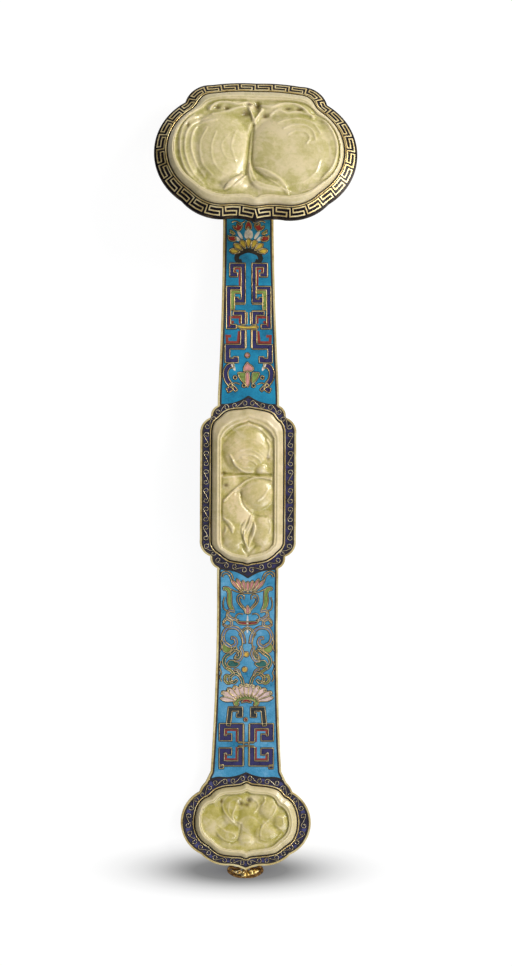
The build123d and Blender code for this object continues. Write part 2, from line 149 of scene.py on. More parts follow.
sheet_draft = bmesh.new()
bmesh.ops.create_grid(sheet_draft, x_segments=8, y_segments=8, size=sheet_size)
bmesh.ops.translate(sheet_draft, verts=sheet_draft.verts, vec=(0, 0, -sheet_drop))
sheet = linked("white_sheet", mesh_from("white_sheet", sheet_draft))
paper = bpy.data.materials.new("white_paper")
paper.use_nodes = True
paper_tree = paper.node_tree
paper_tree.nodes.remove(paper_tree.nodes["Principled BSDF"])
paper_place = add_node(paper_tree, "TexCoord")
# The painted shadow is an oval ramp from white to grey, fed to both the matt colour and the glow.
painted_shadow_mapping = add_node(
    paper_tree, "Mapping", {"Location": painted_shadow_place, "Scale": painted_shadow_size}, vector_type="TEXTURE")
painted_shadow_ball = add_node(paper_tree, "TexGradient", gradient_type="SPHERICAL")
painted_shadow_ramp = add_node(paper_tree, "ValToRGB")
for stop, white in painted_shadow_stops:
    painted_shadow_ramp.color_ramp.elements.new(stop).color = (white, white, white, 1)
painted_shadow_ramp.color_ramp.elements[0].color = (1, 1, 1, 1)
painted_shadow_ramp.color_ramp.elements[-1].color = painted_shadow_core
paper_matt = add_node(paper_tree, "BsdfDiffuse")
paper_light = add_node(paper_tree, "Emission", {"Strength": paper_glow})
paper_mix = add_node(paper_tree, "MixShader")
paper_path = add_node(paper_tree, "LightPath")
paper_share = add_node(paper_tree, "Math", {1: paper_glow_share}, operation="MULTIPLY")
join(paper_tree, (paper_place, "Object", painted_shadow_mapping, "Vector"),
     (painted_shadow_mapping, "Vector", painted_shadow_ball, "Vector"), (painted_shadow_ball, "Fac", painted_shadow_ramp, "Fac"),
     (painted_shadow_ramp, "Color", paper_matt, "Color"),
     (painted_shadow_ramp, "Color", paper_light, "Color"), (paper_path, "Is Camera Ray", paper_share, 0),
     (paper_share, "Value", paper_mix, "Fac"), (paper_matt, "BSDF", paper_mix, 1),
     (paper_light, "Emission", paper_mix, 2),
     (paper_mix, "Shader", paper_tree.nodes["Material Output"], "Surface"))
sheet.data.materials.append(paper)

# Gilt copper body: the front plate with its raised edges, the back shell, the head's dish, the
# neck saddle with its rivets, and the staple and pin. All are fire-gilt, brushed and a little
# worn, so copper shows through in small patches.
grain_share = 0.35
grain_lift = 0.4
noise_low = 0.3
noise_high = 0.7
relief_strength = 0.6
coat_roughness = 0.12
dark_tone = 10


def linear(value):
    """One display value from 0 to 255 as a linear share."""
    if value <= dark_tone:
        return value / 255 / 12.92
    return ((value / 255 + 0.055) / 1.055) ** 2.4


def tone(*values):
    """A colour read as display values from 0 to 255, as the linear colour that a shader takes."""
    return (*[linear(value) for value in values], 1.0)


def speckle_group():
    """Fine grain and slow patches over a surface, as a mask each and a height for bumps."""
    group = bpy.data.node_groups.new("hand_finish", "ShaderNodeTree")
    for way, sockets in (("INPUT", ("Patch Size", "Grain Size")), ("OUTPUT", ("Patch", "Grain", "Height"))):
        for socket in sockets:
            group.interface.new_socket(socket, in_out=way, socket_type="NodeSocketFloat")
    inlet = group.nodes.new("NodeGroupInput")
    outlet = group.nodes.new("NodeGroupOutput")
    place = add_node(group, "TexCoord")
    patch = add_node(group, "TexNoise", {"Detail": 4.0, "Roughness": 0.6})
    grain = add_node(group, "TexNoise", {"Detail": 3.0, "Roughness": 0.7})
    height = add_node(group, "Math", {1: grain_lift}, operation="MULTIPLY_ADD")
    join(group, (place, "Object", patch, "Vector"), (place, "Object", grain, "Vector"),
         (inlet, "Patch Size", patch, "Scale"), (inlet, "Grain Size", grain, "Scale"),
         (patch, "Fac", outlet, "Patch"), (grain, "Fac", outlet, "Grain"),
         (patch, "Fac", height, 0), (grain, "Fac", height, 2), (height, "Value", outlet, "Height"))
    return group


hand_finish = speckle_group()


def shaded(name, colours, stops, patch, grain, roughness, metallic=0.0, coat=0.0, bump=0.02):
    """A hand-finished surface: colours spread over slow patches and fine grain, with a faint relief."""
    material = bpy.data.materials.new(name)
    material.use_nodes = True
    tree = material.node_tree
    shader = tree.nodes["Principled BSDF"]
    finish = add_node(tree, "Group", {"Patch Size": patch, "Grain Size": grain}, node_tree=hand_finish)
    blend = add_node(tree, "Mix", {"Factor": grain_share}, data_type="FLOAT")
    ramp = add_node(tree, "ValToRGB")
    while len(ramp.color_ramp.elements) < len(colours):
        ramp.color_ramp.elements.new(0.5)
    for element, colour, stop in zip(ramp.color_ramp.elements, colours, stops):
        element.position = stop
        element.color = tone(*colour)
    rough = add_node(tree, "MapRange", {
        "From Min": noise_low, "From Max": noise_high, "To Min": roughness[0], "To Max": roughness[1]})
    raised = add_node(tree, "Bump", {"Strength": relief_strength, "Distance": bump * mm})
    join(tree, (finish, "Patch", blend, "A"), (finish, "Grain", blend, "B"), (blend, "Result", ramp, "Fac"),
         (ramp, "Color", shader, "Base Color"), (finish, "Patch", rough, "Value"),
         (rough, "Result", shader, "Roughness"), (finish, "Height", raised, "Height"),
         (raised, "Normal", shader, "Normal"))
    shader.inputs["Metallic"].default_value = metallic
    shader.inputs["Coat Weight"].default_value = coat
    shader.inputs["Coat Roughness"].default_value = coat_roughness
    return material


def dress(node, material):
    """Gives a piece of the frame its finish in every slot."""
    data = nodes[node].data
    if not data.materials:
        data.materials.append(material)
    for number in range(len(data.materials)):
        data.materials[number] = material


gilding = shaded(
    "fire_gilding", ((128, 94, 46), (222, 196, 128), (250, 236, 184)), (0.28, 0.45, 0.64),
    patch=90.0, grain=1500.0, roughness=(0.32, 0.46), metallic=0.7, bump=0.03)
for gilt_node in ("shaft_front_plate", "shaft_back_shell", "head_back_dish", "neck_saddle", "neck_rivets",
                  "loop_staple", "loop_pin"):
    dress(gilt_node, gilding)

# Head's front plate: its upright rim has lost most of its gilding and is nearly black, with paler
# gilt left only in small patches.
worn_rim = shaded(
    "worn_rim", ((14, 10, 10), (36, 28, 24), (120, 98, 66)), (0.35, 0.52, 0.74),
    patch=140.0, grain=1800.0, roughness=(0.34, 0.5), metallic=0.75, bump=0.03)
dress("head_front_plate", worn_rim)

# Enamel grounds: opaque glass fused in the cells and ground flush, turquoise on the shaft and
# its back, dark blue round the middle and tail stones, and nearly black on the head's slope.
upper_turquoise = shaded(
    "upper_turquoise_enamel", ((0, 72, 98), (0, 124, 164), (20, 152, 192)), (0.30, 0.5, 0.70),
    patch=85.0, grain=1400.0, roughness=(0.26, 0.4), coat=0.2, bump=0.03)
lower_turquoise = shaded(
    "lower_turquoise_enamel", ((14, 108, 146), (66, 148, 190), (122, 180, 214)), (0.32, 0.5, 0.66),
    patch=75.0, grain=1400.0, roughness=(0.26, 0.4), coat=0.2, bump=0.03)
night_blue = shaded(
    "night_blue_enamel", ((12, 10, 24), (30, 26, 60), (62, 58, 118)), (0.34, 0.5, 0.68),
    patch=260.0, grain=1300.0, roughness=(0.25, 0.38), coat=0.3, bump=0.03)
plum_black = shaded(
    "plum_black_enamel", ((9, 6, 9), (24, 16, 24), (48, 36, 48)), (0.35, 0.55, 0.75),
    patch=120.0, grain=1300.0, roughness=(0.28, 0.4), bump=0.03)
plum_black.node_tree.nodes["Principled BSDF"].inputs["Specular IOR Level"].default_value = 0.2
dress("upper_shaft_enamel", upper_turquoise)
dress("lower_shaft_enamel", lower_turquoise)
dress("back_enamel", upper_turquoise)
dress("middle_border_enamel", night_blue)
dress("tail_border_enamel", night_blue)
dress("head_border_enamel", plum_black)

# Cloisonne on the shaft: gilt wires stand on edge between cells of opaque enamel, ground flush. Over
# the middle plaque are a lotus, angular dragon frets in mirrored pairs and a bat under a chime, and
# under it a pink lotus, leafy scrolls, a second lotus and a closed fret.
shaft_line = -3.2
upper_drawing = (437.6, 153.0, 0.0755)
lower_drawing = (376.0, -44.4, 0.0827)

# Rows read off two enlarged drawings, y down: a kind, its colour, whether it has a twin over the
# shaft's line, its width in drawing units, and the places of each piece of that kind.
upper_pattern = [
    ("band", "blue", True, 30,
        [(355, 478), (311, 478), (311, 406), (397, 406), (397, 676), (345, 676), (345, 648)],
        [(322, 768), (397, 768), (397, 852)]),
    ("band", "russet", True, 18, [(345, 456), (332, 456), (332, 430), (373, 430), (373, 566)],
        [(326, 828), (300, 850), (300, 798), (373, 798), (373, 846)]),
    ("band", "blue", True, 32, [(378, 581), (287, 581), (287, 868), (345, 868)]),
    ("band", "leaf", True, 28, [(378, 604), (318, 604), (318, 742)]),
    ("band", "blue", True, 35, [(394, 892), (394, 1019), (278, 1019), (278, 1122), (342, 1122),
        (342, 1094)]),
    ("band", "russet", True, 20, [(306, 940), (274, 940), (278, 987), (358, 987), (368, 902)]),
    ("blob", "yellow", False, 0, [(340, 862), (385, 860), (437, 866), (480, 860), (508, 868), (498, 882),
        (437, 886), (380, 884)]),
    ("blob", "red", True, 0,
        [(322, 108), (345, 118), (352, 92), (372, 104), (392, 100), (384, 128), (366, 146), (344, 140),
         (326, 128)], [(285, 182), (300, 190), (322, 186), (342, 200), (338, 222), (312, 224), (290, 212)]),
    ("blob", "white", True, 0, [(352, 148), (368, 152), (388, 178), (396, 204), (384, 206), (362, 180)],
        [(334, 196), (352, 190), (372, 208), (382, 220), (360, 224), (340, 214)],
        [(306, 1150), (322, 1152), (338, 1178), (336, 1200), (320, 1186)]),
    ("blob", "red", False, 0, [(414, 124), (420, 92), (437, 74), (454, 92), (460, 124), (448, 134),
        (437, 112), (426, 134)]),
    ("blob", "leaf", True, 0, [(300, 140), (318, 150), (334, 166), (326, 174), (306, 164)],
        [(358, 1216), (384, 1212), (408, 1214), (414, 1240), (412, 1292), (392, 1282), (368, 1250)]),
    ("line", "gilt", True, 0, [(312, 84), (330, 74), (352, 76), (372, 88), (396, 84), (412, 70)],
        [(296, 160), (316, 168), (340, 170)], [(372, 1300), (340, 1290), (318, 1300), (308, 1320)],
        [(412, 400), (412, 690)], [(425, 760), (425, 850)], [(418, 892), (418, 1030)],
        [(322, 700), (412, 700)], [(322, 750), (412, 750)]),
    ("blob", "white", False, 0, [(408, 190), (412, 150), (428, 140), (437, 112), (448, 138), (466, 152),
        (470, 190), (452, 204), (437, 196), (422, 204)]),
    ("petal", "yellow", True, 20, [(296, 294), (370, 306)], [(330, 244), (390, 290)],
        [(382, 216), (412, 278)]),
    ("petal", "yellow", False, 20, [(438, 204), (438, 272)]),
    ("scroll", "coal", False, 36, [(388, 374), (364, 380), (348, 354), (362, 322), (400, 302), (438, 294),
        (476, 302), (514, 322), (528, 354), (512, 380), (488, 374)]),
    ("dots", "rose", False, 17, [(427, 1084)]),
    ("blob", "rose", False, 0,
        [(400, 1176), (412, 1156), (427, 1136), (444, 1152), (462, 1164), (474, 1188), (450, 1204),
         (427, 1200), (404, 1204)],
        [(416, 1220), (427, 1208), (440, 1220), (446, 1262), (442, 1300), (429, 1320), (416, 1300),
         (410, 1262)]),
    ("dots", "ink", True, 13, [(402, 1310), (336, 1250)]),
    ("scroll", "blue", True, 34, [(326, 1160), (288, 1166), (266, 1208), (272, 1262), (298, 1302),
        (304, 1332), (276, 1348)]),
    ("scroll", "blue", True, 22, [(292, 1302), (322, 1322), (346, 1348)]),
]
lower_pattern = [
    ("line", "gilt", True, 0, [(192, 112), (200, 84), (230, 74), (262, 92), (278, 128)],
        [(206, 116), (212, 98), (232, 92), (250, 106), (262, 134)],
        [(350, 268), (352, 244), (330, 232), (308, 244), (304, 276), (326, 312), (352, 338), (362, 366)],
        [(336, 262), (326, 250), (318, 262), (326, 290), (346, 316), (366, 346)],
        [(346, 368), (316, 364), (296, 382), (300, 404), (318, 404)],
        [(288, 356), (254, 350), (232, 372), (236, 404), (262, 416), (284, 402)],
        [(236, 404), (214, 420), (206, 446)],
        [(317, 500), (340, 541), (340, 588), (318, 628), (296, 650), (300, 676)],
        [(220, 250), (208, 290), (214, 330), (236, 346)], [(212, 520), (196, 552), (200, 590), (190, 622)],
        [(196, 690), (188, 730), (200, 770), (192, 800), (204, 830)], [(358, 1124), (358, 1410)]),
    ("petal", "rose", True, 11, [(262, 134), (330, 212)]),
    ("petal", "rose", True, 12, [(300, 128), (342, 208)]),
    ("petal", "rose", True, 13, [(342, 140), (360, 208)]),
    ("petal", "rose", False, 15, [(376, 146), (376, 216)]),
    ("petal", "white", True, 8, [(284, 170), (338, 214)], [(322, 160), (352, 214)],
        [(360, 172), (368, 216)]),
    ("line", "gilt", False, 0, [(258, 196), (300, 214), (376, 226), (452, 214), (494, 196)],
        [(320, 1252), (430, 1252)], [(320, 1274), (430, 1274)]),
    ("blob", "leaf", True, 0,
        [(210, 186), (228, 182), (252, 192), (264, 222), (268, 300), (280, 332), (262, 336), (244, 310),
         (236, 270), (240, 228), (228, 204), (212, 202)],
        [(204, 592), (222, 566), (250, 572), (268, 596), (256, 622), (232, 632), (212, 618)]),
    ("blob", "rose", False, 0, [(362, 352), (364, 328), (376, 310), (388, 328), (390, 352), (376, 366)]),
    ("blob", "red", False, 0,
        [(300, 412), (322, 418), (376, 420), (430, 418), (450, 412), (440, 430), (410, 438), (376, 440),
         (340, 438), (312, 430)], [(342, 976), (350, 960), (374, 952), (398, 960), (406, 976), (374, 970)]),
    ("blob", "white", False, 0, [(371, 388), (381, 388), (381, 488), (376, 494), (371, 488)]),
    ("scroll", "mist", True, 13, [(302, 408), (264, 394), (240, 368), (254, 342), (284, 348)],
        [(330, 590), (346, 640), (322, 684), (290, 690)]),
    ("scroll", "mist", True, 12, [(212, 424), (232, 400), (262, 412), (266, 442), (238, 454), (216, 444)],
        [(330, 790), (316, 756), (290, 748)]),
    ("scroll", "mist", True, 17, [(356, 566), (342, 506), (300, 462), (240, 464), (210, 512), (222, 562),
        (262, 590), (298, 570), (292, 536), (266, 530)]),
    ("scroll", "teal", True, 12, [(330, 500), (352, 474), (372, 462)]),
    ("scroll", "teal", True, 18, [(300, 596), (262, 634), (228, 660), (216, 700), (236, 738)]),
    ("scroll", "teal", True, 14, [(262, 640), (290, 616), (322, 632), (316, 664), (288, 668)]),
    ("blob", "teal", True, 0, [(240, 706), (262, 684), (292, 690), (322, 706), (300, 728), (270, 730),
        (248, 724)]),
    ("scroll", "leaf", True, 14, [(236, 738), (262, 752), (282, 776), (262, 796), (234, 790), (226, 820),
        (248, 842), (274, 830)]),
    ("scroll", "teal", True, 16, [(352, 856), (338, 808), (306, 776), (268, 790), (262, 822), (288, 836),
        (306, 818)]),
    ("dots", "amber", False, 17, [(370, 643), (360, 747)]),
    ("petal", "blush", False, 17, [(196, 946), (300, 962)], [(556, 940), (448, 962)]),
    ("petal", "blush", False, 19, [(206, 900), (304, 952)], [(246, 876), (318, 944)],
        [(500, 876), (430, 944)], [(544, 900), (444, 952)]),
    ("petal", "blush", False, 18, [(290, 860), (334, 938)], [(332, 850), (354, 934)],
        [(372, 846), (374, 932)], [(412, 850), (394, 934)], [(454, 860), (414, 938)]),
    ("dots", "red", True, 9, [(372, 858), (332, 864), (291, 874), (250, 890), (212, 912)]),
    ("blob", "leaf", False, 0, [(296, 996), (286, 968), (300, 942), (336, 924), (374, 918), (412, 924),
        (446, 942), (460, 968), (448, 996), (424, 992), (430, 970), (406, 956), (374, 950), (342, 956),
        (320, 970), (322, 990)]),
    ("band", "ink", True, 28, [(308, 1062), (335, 1062), (335, 1020), (264, 1020), (252, 1136)]),
    ("dots", "red", False, 12, [(370, 1092)]),
    ("band", "blue", True, 35,
        [(336, 1246), (336, 1138), (208, 1138), (208, 1222), (258, 1222), (258, 1192)],
        [(336, 1282), (336, 1394), (208, 1394), (208, 1306), (258, 1306), (258, 1336)]),
    ("band", "russet", True, 18, [(312, 1246), (312, 1163), (236, 1163), (236, 1196)],
        [(312, 1282), (312, 1368), (236, 1368), (236, 1330)]),
    ("band", "blue", True, 28, [(206, 1404), (206, 1430)]),
]


def flowing(points, closed, pieces=5):
    """A smooth line through the points, with a few places on each stretch."""
    line = np.array(points, float)
    if closed:
        line = np.concatenate((line[-1:], line, line[:2]))
    else:
        line = np.concatenate((2 * line[:1] - line[1:2], line, 2 * line[-1:] - line[-2:-1]))
    t = np.linspace(0, 1, pieces, endpoint=False)[:, None]
    run = []
    for a, b, c, d in zip(line, line[1:], line[2:], line[3:]):
        run.extend(b + 0.5 * t * (c - a + t * (2 * a - 5 * b + 4 * c - d + t * (3 * b - a - 3 * c + d))))
    return np.array(run if closed else run + [line[-2]])


def stepped(points, closed, step):
    """The same line with more places on its long stretches, so that it can follow a curved face."""
    line = np.array(points, float)
    ends = np.roll(line, -1, axis=0) if closed else line[1:]
    run = []
    for start, end in zip(line, ends):
        count = max(1, int(np.ceil(np.linalg.norm(end - start) / step)))
        run.extend(start + (end - start) * i / count for i in range(count))
    return np.array(run if closed else run + [line[-1]])


def strip_outline(points, width):
    """Outline of a strip with square ends and mitred corners along a line."""
    line = np.array(points, float)
    way = np.diff(line, axis=0)
    way /= np.linalg.norm(way, axis=1)[:, None]
    side = np.stack((-way[:, 1], way[:, 0]), axis=1)
    first = np.concatenate((side[:1], side))
    last = np.concatenate((side, side[-1:]))
    reach = (first + last) / (1 + (first * last).sum(axis=1))[:, None] * width / 2
    return np.concatenate((line + reach, (line - reach)[::-1]))


petal_shape = ((0.0, 0.0), (0.10, 0.55), (0.36, 1.0), (0.66, 0.72), (1.0, 0.16))


def petal_outline(tip, base, width):
    """Pointed oval from its tip to its base, widest past the middle."""
    tip, base = np.array(tip, float), np.array(base, float)
    way = base - tip
    side = np.array((-way[1], way[0])) / np.linalg.norm(way) * width
    left = [tip + way * ahead + side * out for ahead, out in petal_shape]
    right = [tip + way * ahead - side * out for ahead, out in petal_shape[:0:-1]]
    return flowing(left + right, True, pieces=4)


def round_outline(centre, radius, count=16):
    """Places round a circle."""
    turns = np.arange(count) * 2 * pi / count
    return np.array(centre) + radius * np.stack((np.cos(turns), np.sin(turns)), axis=1)


def cell_outlines(kind, width, points):
    """Closed outlines of one entry of a pattern."""
    if kind == "band":
        return [strip_outline(points, width)]
    if kind == "petal":
        return [petal_outline(*points, width)]
    if kind == "scroll":
        return [strip_outline(flowing(points, False, pieces=4), width)]
    if kind == "dots":
        return [round_outline(point, width) for point in points]
    return [flowing(points, True)]


def on_panel(points, drawing, turned):
    """Places of a drawing in mm on the sceptre, or their mirror image over the shaft's line."""
    middle, top, unit = drawing
    across = (points[:, 0] - middle) * unit * (-1 if turned else 1)
    return np.stack((shaft_line + across, top - points[:, 1] * unit), axis=1)


def surface_of(*names):
    """The skins of some pieces as one tree that rays can be cast on."""
    skin = bmesh.new()
    for name in names:
        skin.from_mesh(nodes[name].data)
    tree = BVHTree.FromBMesh(skin)
    skin.free()
    return tree


ray_start = 0.2
middle_height = 0.03


def level(tree, x, y, side=1):
    """Height of a skin in front of or behind a place, or of its nearest point where it ends before it."""
    hit = tree.ray_cast(Vector((x * mm, y * mm, side * ray_start)), Vector((0, 0, -side)))[0]
    if hit is None:
        hit = tree.find_nearest(Vector((x * mm, y * mm, middle_height)))[0]
    return hit.z


def place_piece(name, data, body="sceptre"):
    """Links a finished mesh and fixes it to one of the sceptre's bodies."""
    obj = linked(name, data)
    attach(obj, body)
    return obj


def wire_mesh(name, runs, radius, material):
    """Round wires through places in mm, as one mesh. Each run is closed or open."""
    data = bpy.data.curves.new(name, "CURVE")
    data.dimensions = "3D"
    data.bevel_depth = radius * mm
    data.bevel_resolution = 1
    data.use_fill_caps = True
    for closed, run in runs:
        spline = data.splines.new("POLY")
        spline.points.add(len(run) - 1)
        spline.use_cyclic_u = closed
        for point, (x, y, z) in zip(spline.points, run):
            point.co = (x * mm, y * mm, z * mm, 1)
    draft = linked(name + "_draft", data)
    bpy.context.view_layer.update()
    mesh = bpy.data.meshes.new_from_object(draft.evaluated_get(bpy.context.evaluated_depsgraph_get()))
    bpy.data.objects.remove(draft)
    mesh.name = name
    mesh.materials.clear()
    mesh.materials.append(material)
    mesh.shade_smooth()
    return mesh


wire_radius = 0.17
wire_step = 0.9
seam_radius = 0.56
seam_flatness = 0.2
# Dark finish for the seams along the wires and at the enamel edges, and painted shade in the gap round each
# stone.
dark_seam_and_painted_shade = shaded(
    "dark_seam_and_painted_shade", ((18, 14, 16), (38, 30, 30), (60, 48, 44)), (0.32, 0.52, 0.74),
    patch=300.0, grain=1500.0, roughness=(0.5, 0.7), bump=0.02)


def laid_wires(name, runs, tree, material, radius, side=1, flatness=1.0):
    """Wires half sunk in a skin, pressed flatter where a flatness is given."""
    even = [(closed, stepped(run, closed, wire_step)) for closed, run in runs]
    laid = [(closed, [(x, y, level(tree, x, y, side) / mm) for x, y in run]) for closed, run in even]
    mesh = wire_mesh(name, laid, radius, material)
    if flatness < 1:
        for vert in mesh.vertices:
            ground = level(tree, vert.co.x / mm, vert.co.y / mm, side)
            vert.co.z = ground + (vert.co.z - ground) * flatness
    place_piece(name, mesh)


def inlaid_wires(name, runs, tree, material, side=1):
    """Wires soldered on a skin and sunk in the enamel, with a dark seam along each."""
    laid_wires(name, runs, tree, material, wire_radius, side)
    laid_wires(name + "_seams", runs, tree, dark_seam_and_painted_shade, seam_radius, side, seam_flatness)


cell_tones = {
    "blue": (40, 36, 92), "russet": (140, 50, 38), "yellow": (206, 176, 64), "red": (158, 40, 36),
    "white": (222, 214, 198), "ink": (26, 36, 40), "coal": (16, 18, 20), "rose": (206, 138, 134),
    "leaf": (126, 150, 70), "teal": (34, 104, 96), "amber": (214, 170, 60), "sky": (66, 66, 116),
    "mist": (96, 132, 176), "blush": (226, 196, 188)}
cell_shades = (0.72, 1.0, 1.14)


def enamel_cell(name, colour):
    """Opaque enamel of one colour, a little uneven."""
    tones = [[value * shade for value in colour] for shade in cell_shades]
    return shaded(
        name + "_cell", tones, (0.3, 0.52, 0.72),
        patch=260.0, grain=1500.0, roughness=(0.24, 0.38), coat=0.3, bump=0.03)


cell_materials = {name: enamel_cell(name, colour) for name, colour in cell_tones.items()}
cell_lift = 0.03
cell_step = 0.006
cell_depth = 0.3
cell_slice = 1.5


def inlaid_cells(name, cells, tree):
    """Slabs of enamel that follow the skin under them, each colour a hair above the last."""
    colours = sorted({colour for colour, _ in cells}, key=list(cell_materials).index)
    slabs = bmesh.new()
    for colour, outline in cells:
        rank = colours.index(colour)
        lift = (cell_lift + cell_step * rank) * mm
        corners = [slabs.verts.new((x * mm, y * mm, lift)) for x, y in outline]
        edges = [slabs.edges.new((corners[i - 1], corners[i])) for i in range(len(corners))]
        for face in bmesh.ops.contextual_create(slabs, geom=edges)["faces"]:
            face.material_index = rank
    bmesh.ops.triangulate(slabs, faces=slabs.faces[:], ngon_method="EAR_CLIP")
    low = min(vert.co.y for vert in slabs.verts)
    high = max(vert.co.y for vert in slabs.verts)
    for y in np.arange(low, high, cell_slice * mm)[1:]:
        whole = slabs.verts[:] + slabs.edges[:] + slabs.faces[:]
        bmesh.ops.bisect_plane(slabs, geom=whole, plane_co=(0, y, 0), plane_no=(0, 1, 0))
    deeper = bmesh.ops.extrude_face_region(slabs, geom=slabs.faces[:], use_keep_orig=True)["geom"]
    lower = [item for item in deeper if isinstance(item, bmesh.types.BMVert)]
    bmesh.ops.translate(slabs, verts=lower, vec=(0, 0, -cell_depth * mm))
    for vert in slabs.verts:
        vert.co.z += level(tree, vert.co.x / mm, vert.co.y / mm)
    bmesh.ops.recalc_face_normals(slabs, faces=slabs.faces)
    place_piece(name, mesh_from(name, slabs, *[cell_materials[colour] for colour in colours]))


def wire_gilding(name, colours, roughness=(0.26, 0.4), metallic=0.8):
    """Gilding of a fine wire, brighter than the body's."""
    return shaded(
        name, colours, (0.28, 0.46, 0.64),
        patch=160.0, grain=1600.0, roughness=roughness, metallic=metallic, bump=0.02)


bare_colours = ("russet", "white", "coal")
bright_gilt = wire_gilding("bright_gilt_wire", ((150, 112, 56), (228, 200, 132), (250, 236, 188)))
panels = {"upper": (upper_pattern, upper_drawing), "lower": (lower_pattern, lower_drawing)}
for panel, (pattern, drawing) in panels.items():
    panel_cells = []
    panel_wires = []
    for kind, colour, twin, width, *pieces in pattern:
        for turned in (False, True) if twin else (False,):
            for points in pieces:
                if kind == "line":
                    panel_wires.append((False, on_panel(flowing(points, False), drawing, turned)))
                    continue
                for outline in cell_outlines(kind, width, points):
                    placed = on_panel(outline, drawing, turned)
                    panel_cells.append((colour, placed))
                    if colour not in bare_colours:
                        panel_wires.append((True, placed))
    panel_skin = surface_of(panel + "_shaft_enamel")
    inlaid_cells(panel + "_shaft_cells", panel_cells, panel_skin)
    inlaid_wires(panel + "_shaft_wires", panel_wires, panel_skin, bright_gilt)

# Enamel borders of the middle and tail plaques: a row of letter-S scrolls in fine gilt wire runs
# up each side from the lower tip to the upper one, the right side as the mirror image of the left.
middle_drawing = (447, 753, 0.0719, 0.0719)
tail_drawing = (741, 605, 0.0575, 0.0575)
scroll_curl = 1.35
scroll_length_share = 0.78
scroll_look = 0.8
curl_turns = (-150, 195)
curl_places = 16
curl_inner = 0.3
curl_opened = 0.6


def edge_loops(node, place, facing, least=0.9):
    """Edges of the faces of a solid that look one way, as closed lines in a plane, the longest first."""
    solid = bmesh.new()
    solid.from_mesh(nodes[node].data)
    bmesh.ops.transform(solid, matrix=place.inverted(), verts=solid.verts)
    bmesh.ops.remove_doubles(solid, verts=solid.verts, dist=1e-6)
    solid.normal_update()
    chosen = {face for face in solid.faces if face.normal.z * facing > least}
    links = {}
    for edge in solid.edges:
        if sum(face in chosen for face in edge.link_faces) == 1:
            for vert in edge.verts:
                links.setdefault(vert, []).append(edge.other_vert(vert))
    loops = []
    while links:
        vert = next(iter(links))
        loop = []
        while vert in links:
            loop.append(vert)
            vert = next((other for other in links.pop(vert) if other in links), None)
        loops.append(np.array([vert.co.xy for vert in loop]) / mm)
    solid.free()
    return sorted(loops, key=lambda loop: -np.ptp(loop[:, 0]))


def reaches(line):
    """How far each place of a line is from its start."""
    return np.concatenate(([0], np.cumsum(np.linalg.norm(np.diff(line, axis=0), axis=1))))


def places_at(line, distances):
    """Places at some distances along an open line."""
    reached = reaches(line)
    return np.stack([np.interp(distances, reached, values) for values in line.T], axis=1)


def along(line, distances):
    """Places and sideways unit vectors at some distances along an open line."""
    way = places_at(line, distances + scroll_look) - places_at(line, distances - scroll_look)
    way /= np.linalg.norm(way, axis=1)[:, None]
    return places_at(line, distances), np.stack((-way[:, 1], way[:, 0]), axis=1)


def letter_s(half_length, curl):
    """Letter S with two open curls and a slanting middle, as places across and along."""
    turns = np.radians(np.linspace(*curl_turns, curl_places))
    reach = curl * np.interp(turns, (turns[0], curl_opened, turns[-1]), (curl_inner, 1.0, 1.0))
    upper = np.stack((reach * np.cos(turns), half_length - curl + reach * np.sin(turns)), axis=1)
    return flowing(np.concatenate((upper, -upper[::-1])), False, pieces=2)


def plane_at(x, y, z, tilt=0.0, spin=0.0):
    """Plane of a plaque, with its origin in mm."""
    return (Matrix.Translation((x * mm, y * mm, z * mm)) @ Matrix.Rotation(tilt, 4, "X")
            @ Matrix.Rotation(spin, 4, "Z"))


def evenly(outline, step):
    """A closed line with its places at equal steps."""
    line = np.concatenate((outline, outline[:1]))
    length = reaches(line)[-1]
    return places_at(line, np.linspace(0, length, int(length / step), endpoint=False))


def moved_out(outline, amount):
    """A smooth closed line moved outwards, or inwards by a negative amount."""
    way = np.roll(outline, -2, axis=0) - np.roll(outline, 2, axis=0)
    side = np.stack((way[:, 1], -way[:, 0]), axis=1) / np.linalg.norm(way, axis=1)[:, None]
    ahead = np.roll(outline, -1, axis=0)
    turning = np.sign((outline[:, 0] * ahead[:, 1] - ahead[:, 0] * outline[:, 1]).sum())
    return outline + side * turning * amount


def stone_line(node, place, reach):
    """Outline of a stone as it is ground, with the corners of its seat rounded over a reach."""
    line = evenly(edge_loops(node, place, -1)[0], line_step)
    spread = int(reach / line_step / 2)
    for _ in range(2):
        line = sum(np.roll(line, shift, axis=0) for shift in range(-spread, spread + 1)) / (2 * spread + 1)
    return moved_out(line, -stone_gap)


def on_stone(points, drawing):
    """Places of a drawing of a stone in mm on its plane."""
    return (np.array(points, float) - drawing[:2]) * (drawing[2], -drawing[3])


def edge_seam(name, edge, tree):
    """Dark line where the enamel ends at its metal edge."""
    rim = moved_out(evenly(edge, edge_seam_step), edge_seam_offset)
    laid_wires(name + "_edge_seam", [(True, rim)], tree, dark_seam_and_painted_shade, edge_seam_radius, flatness=seam_flatness)


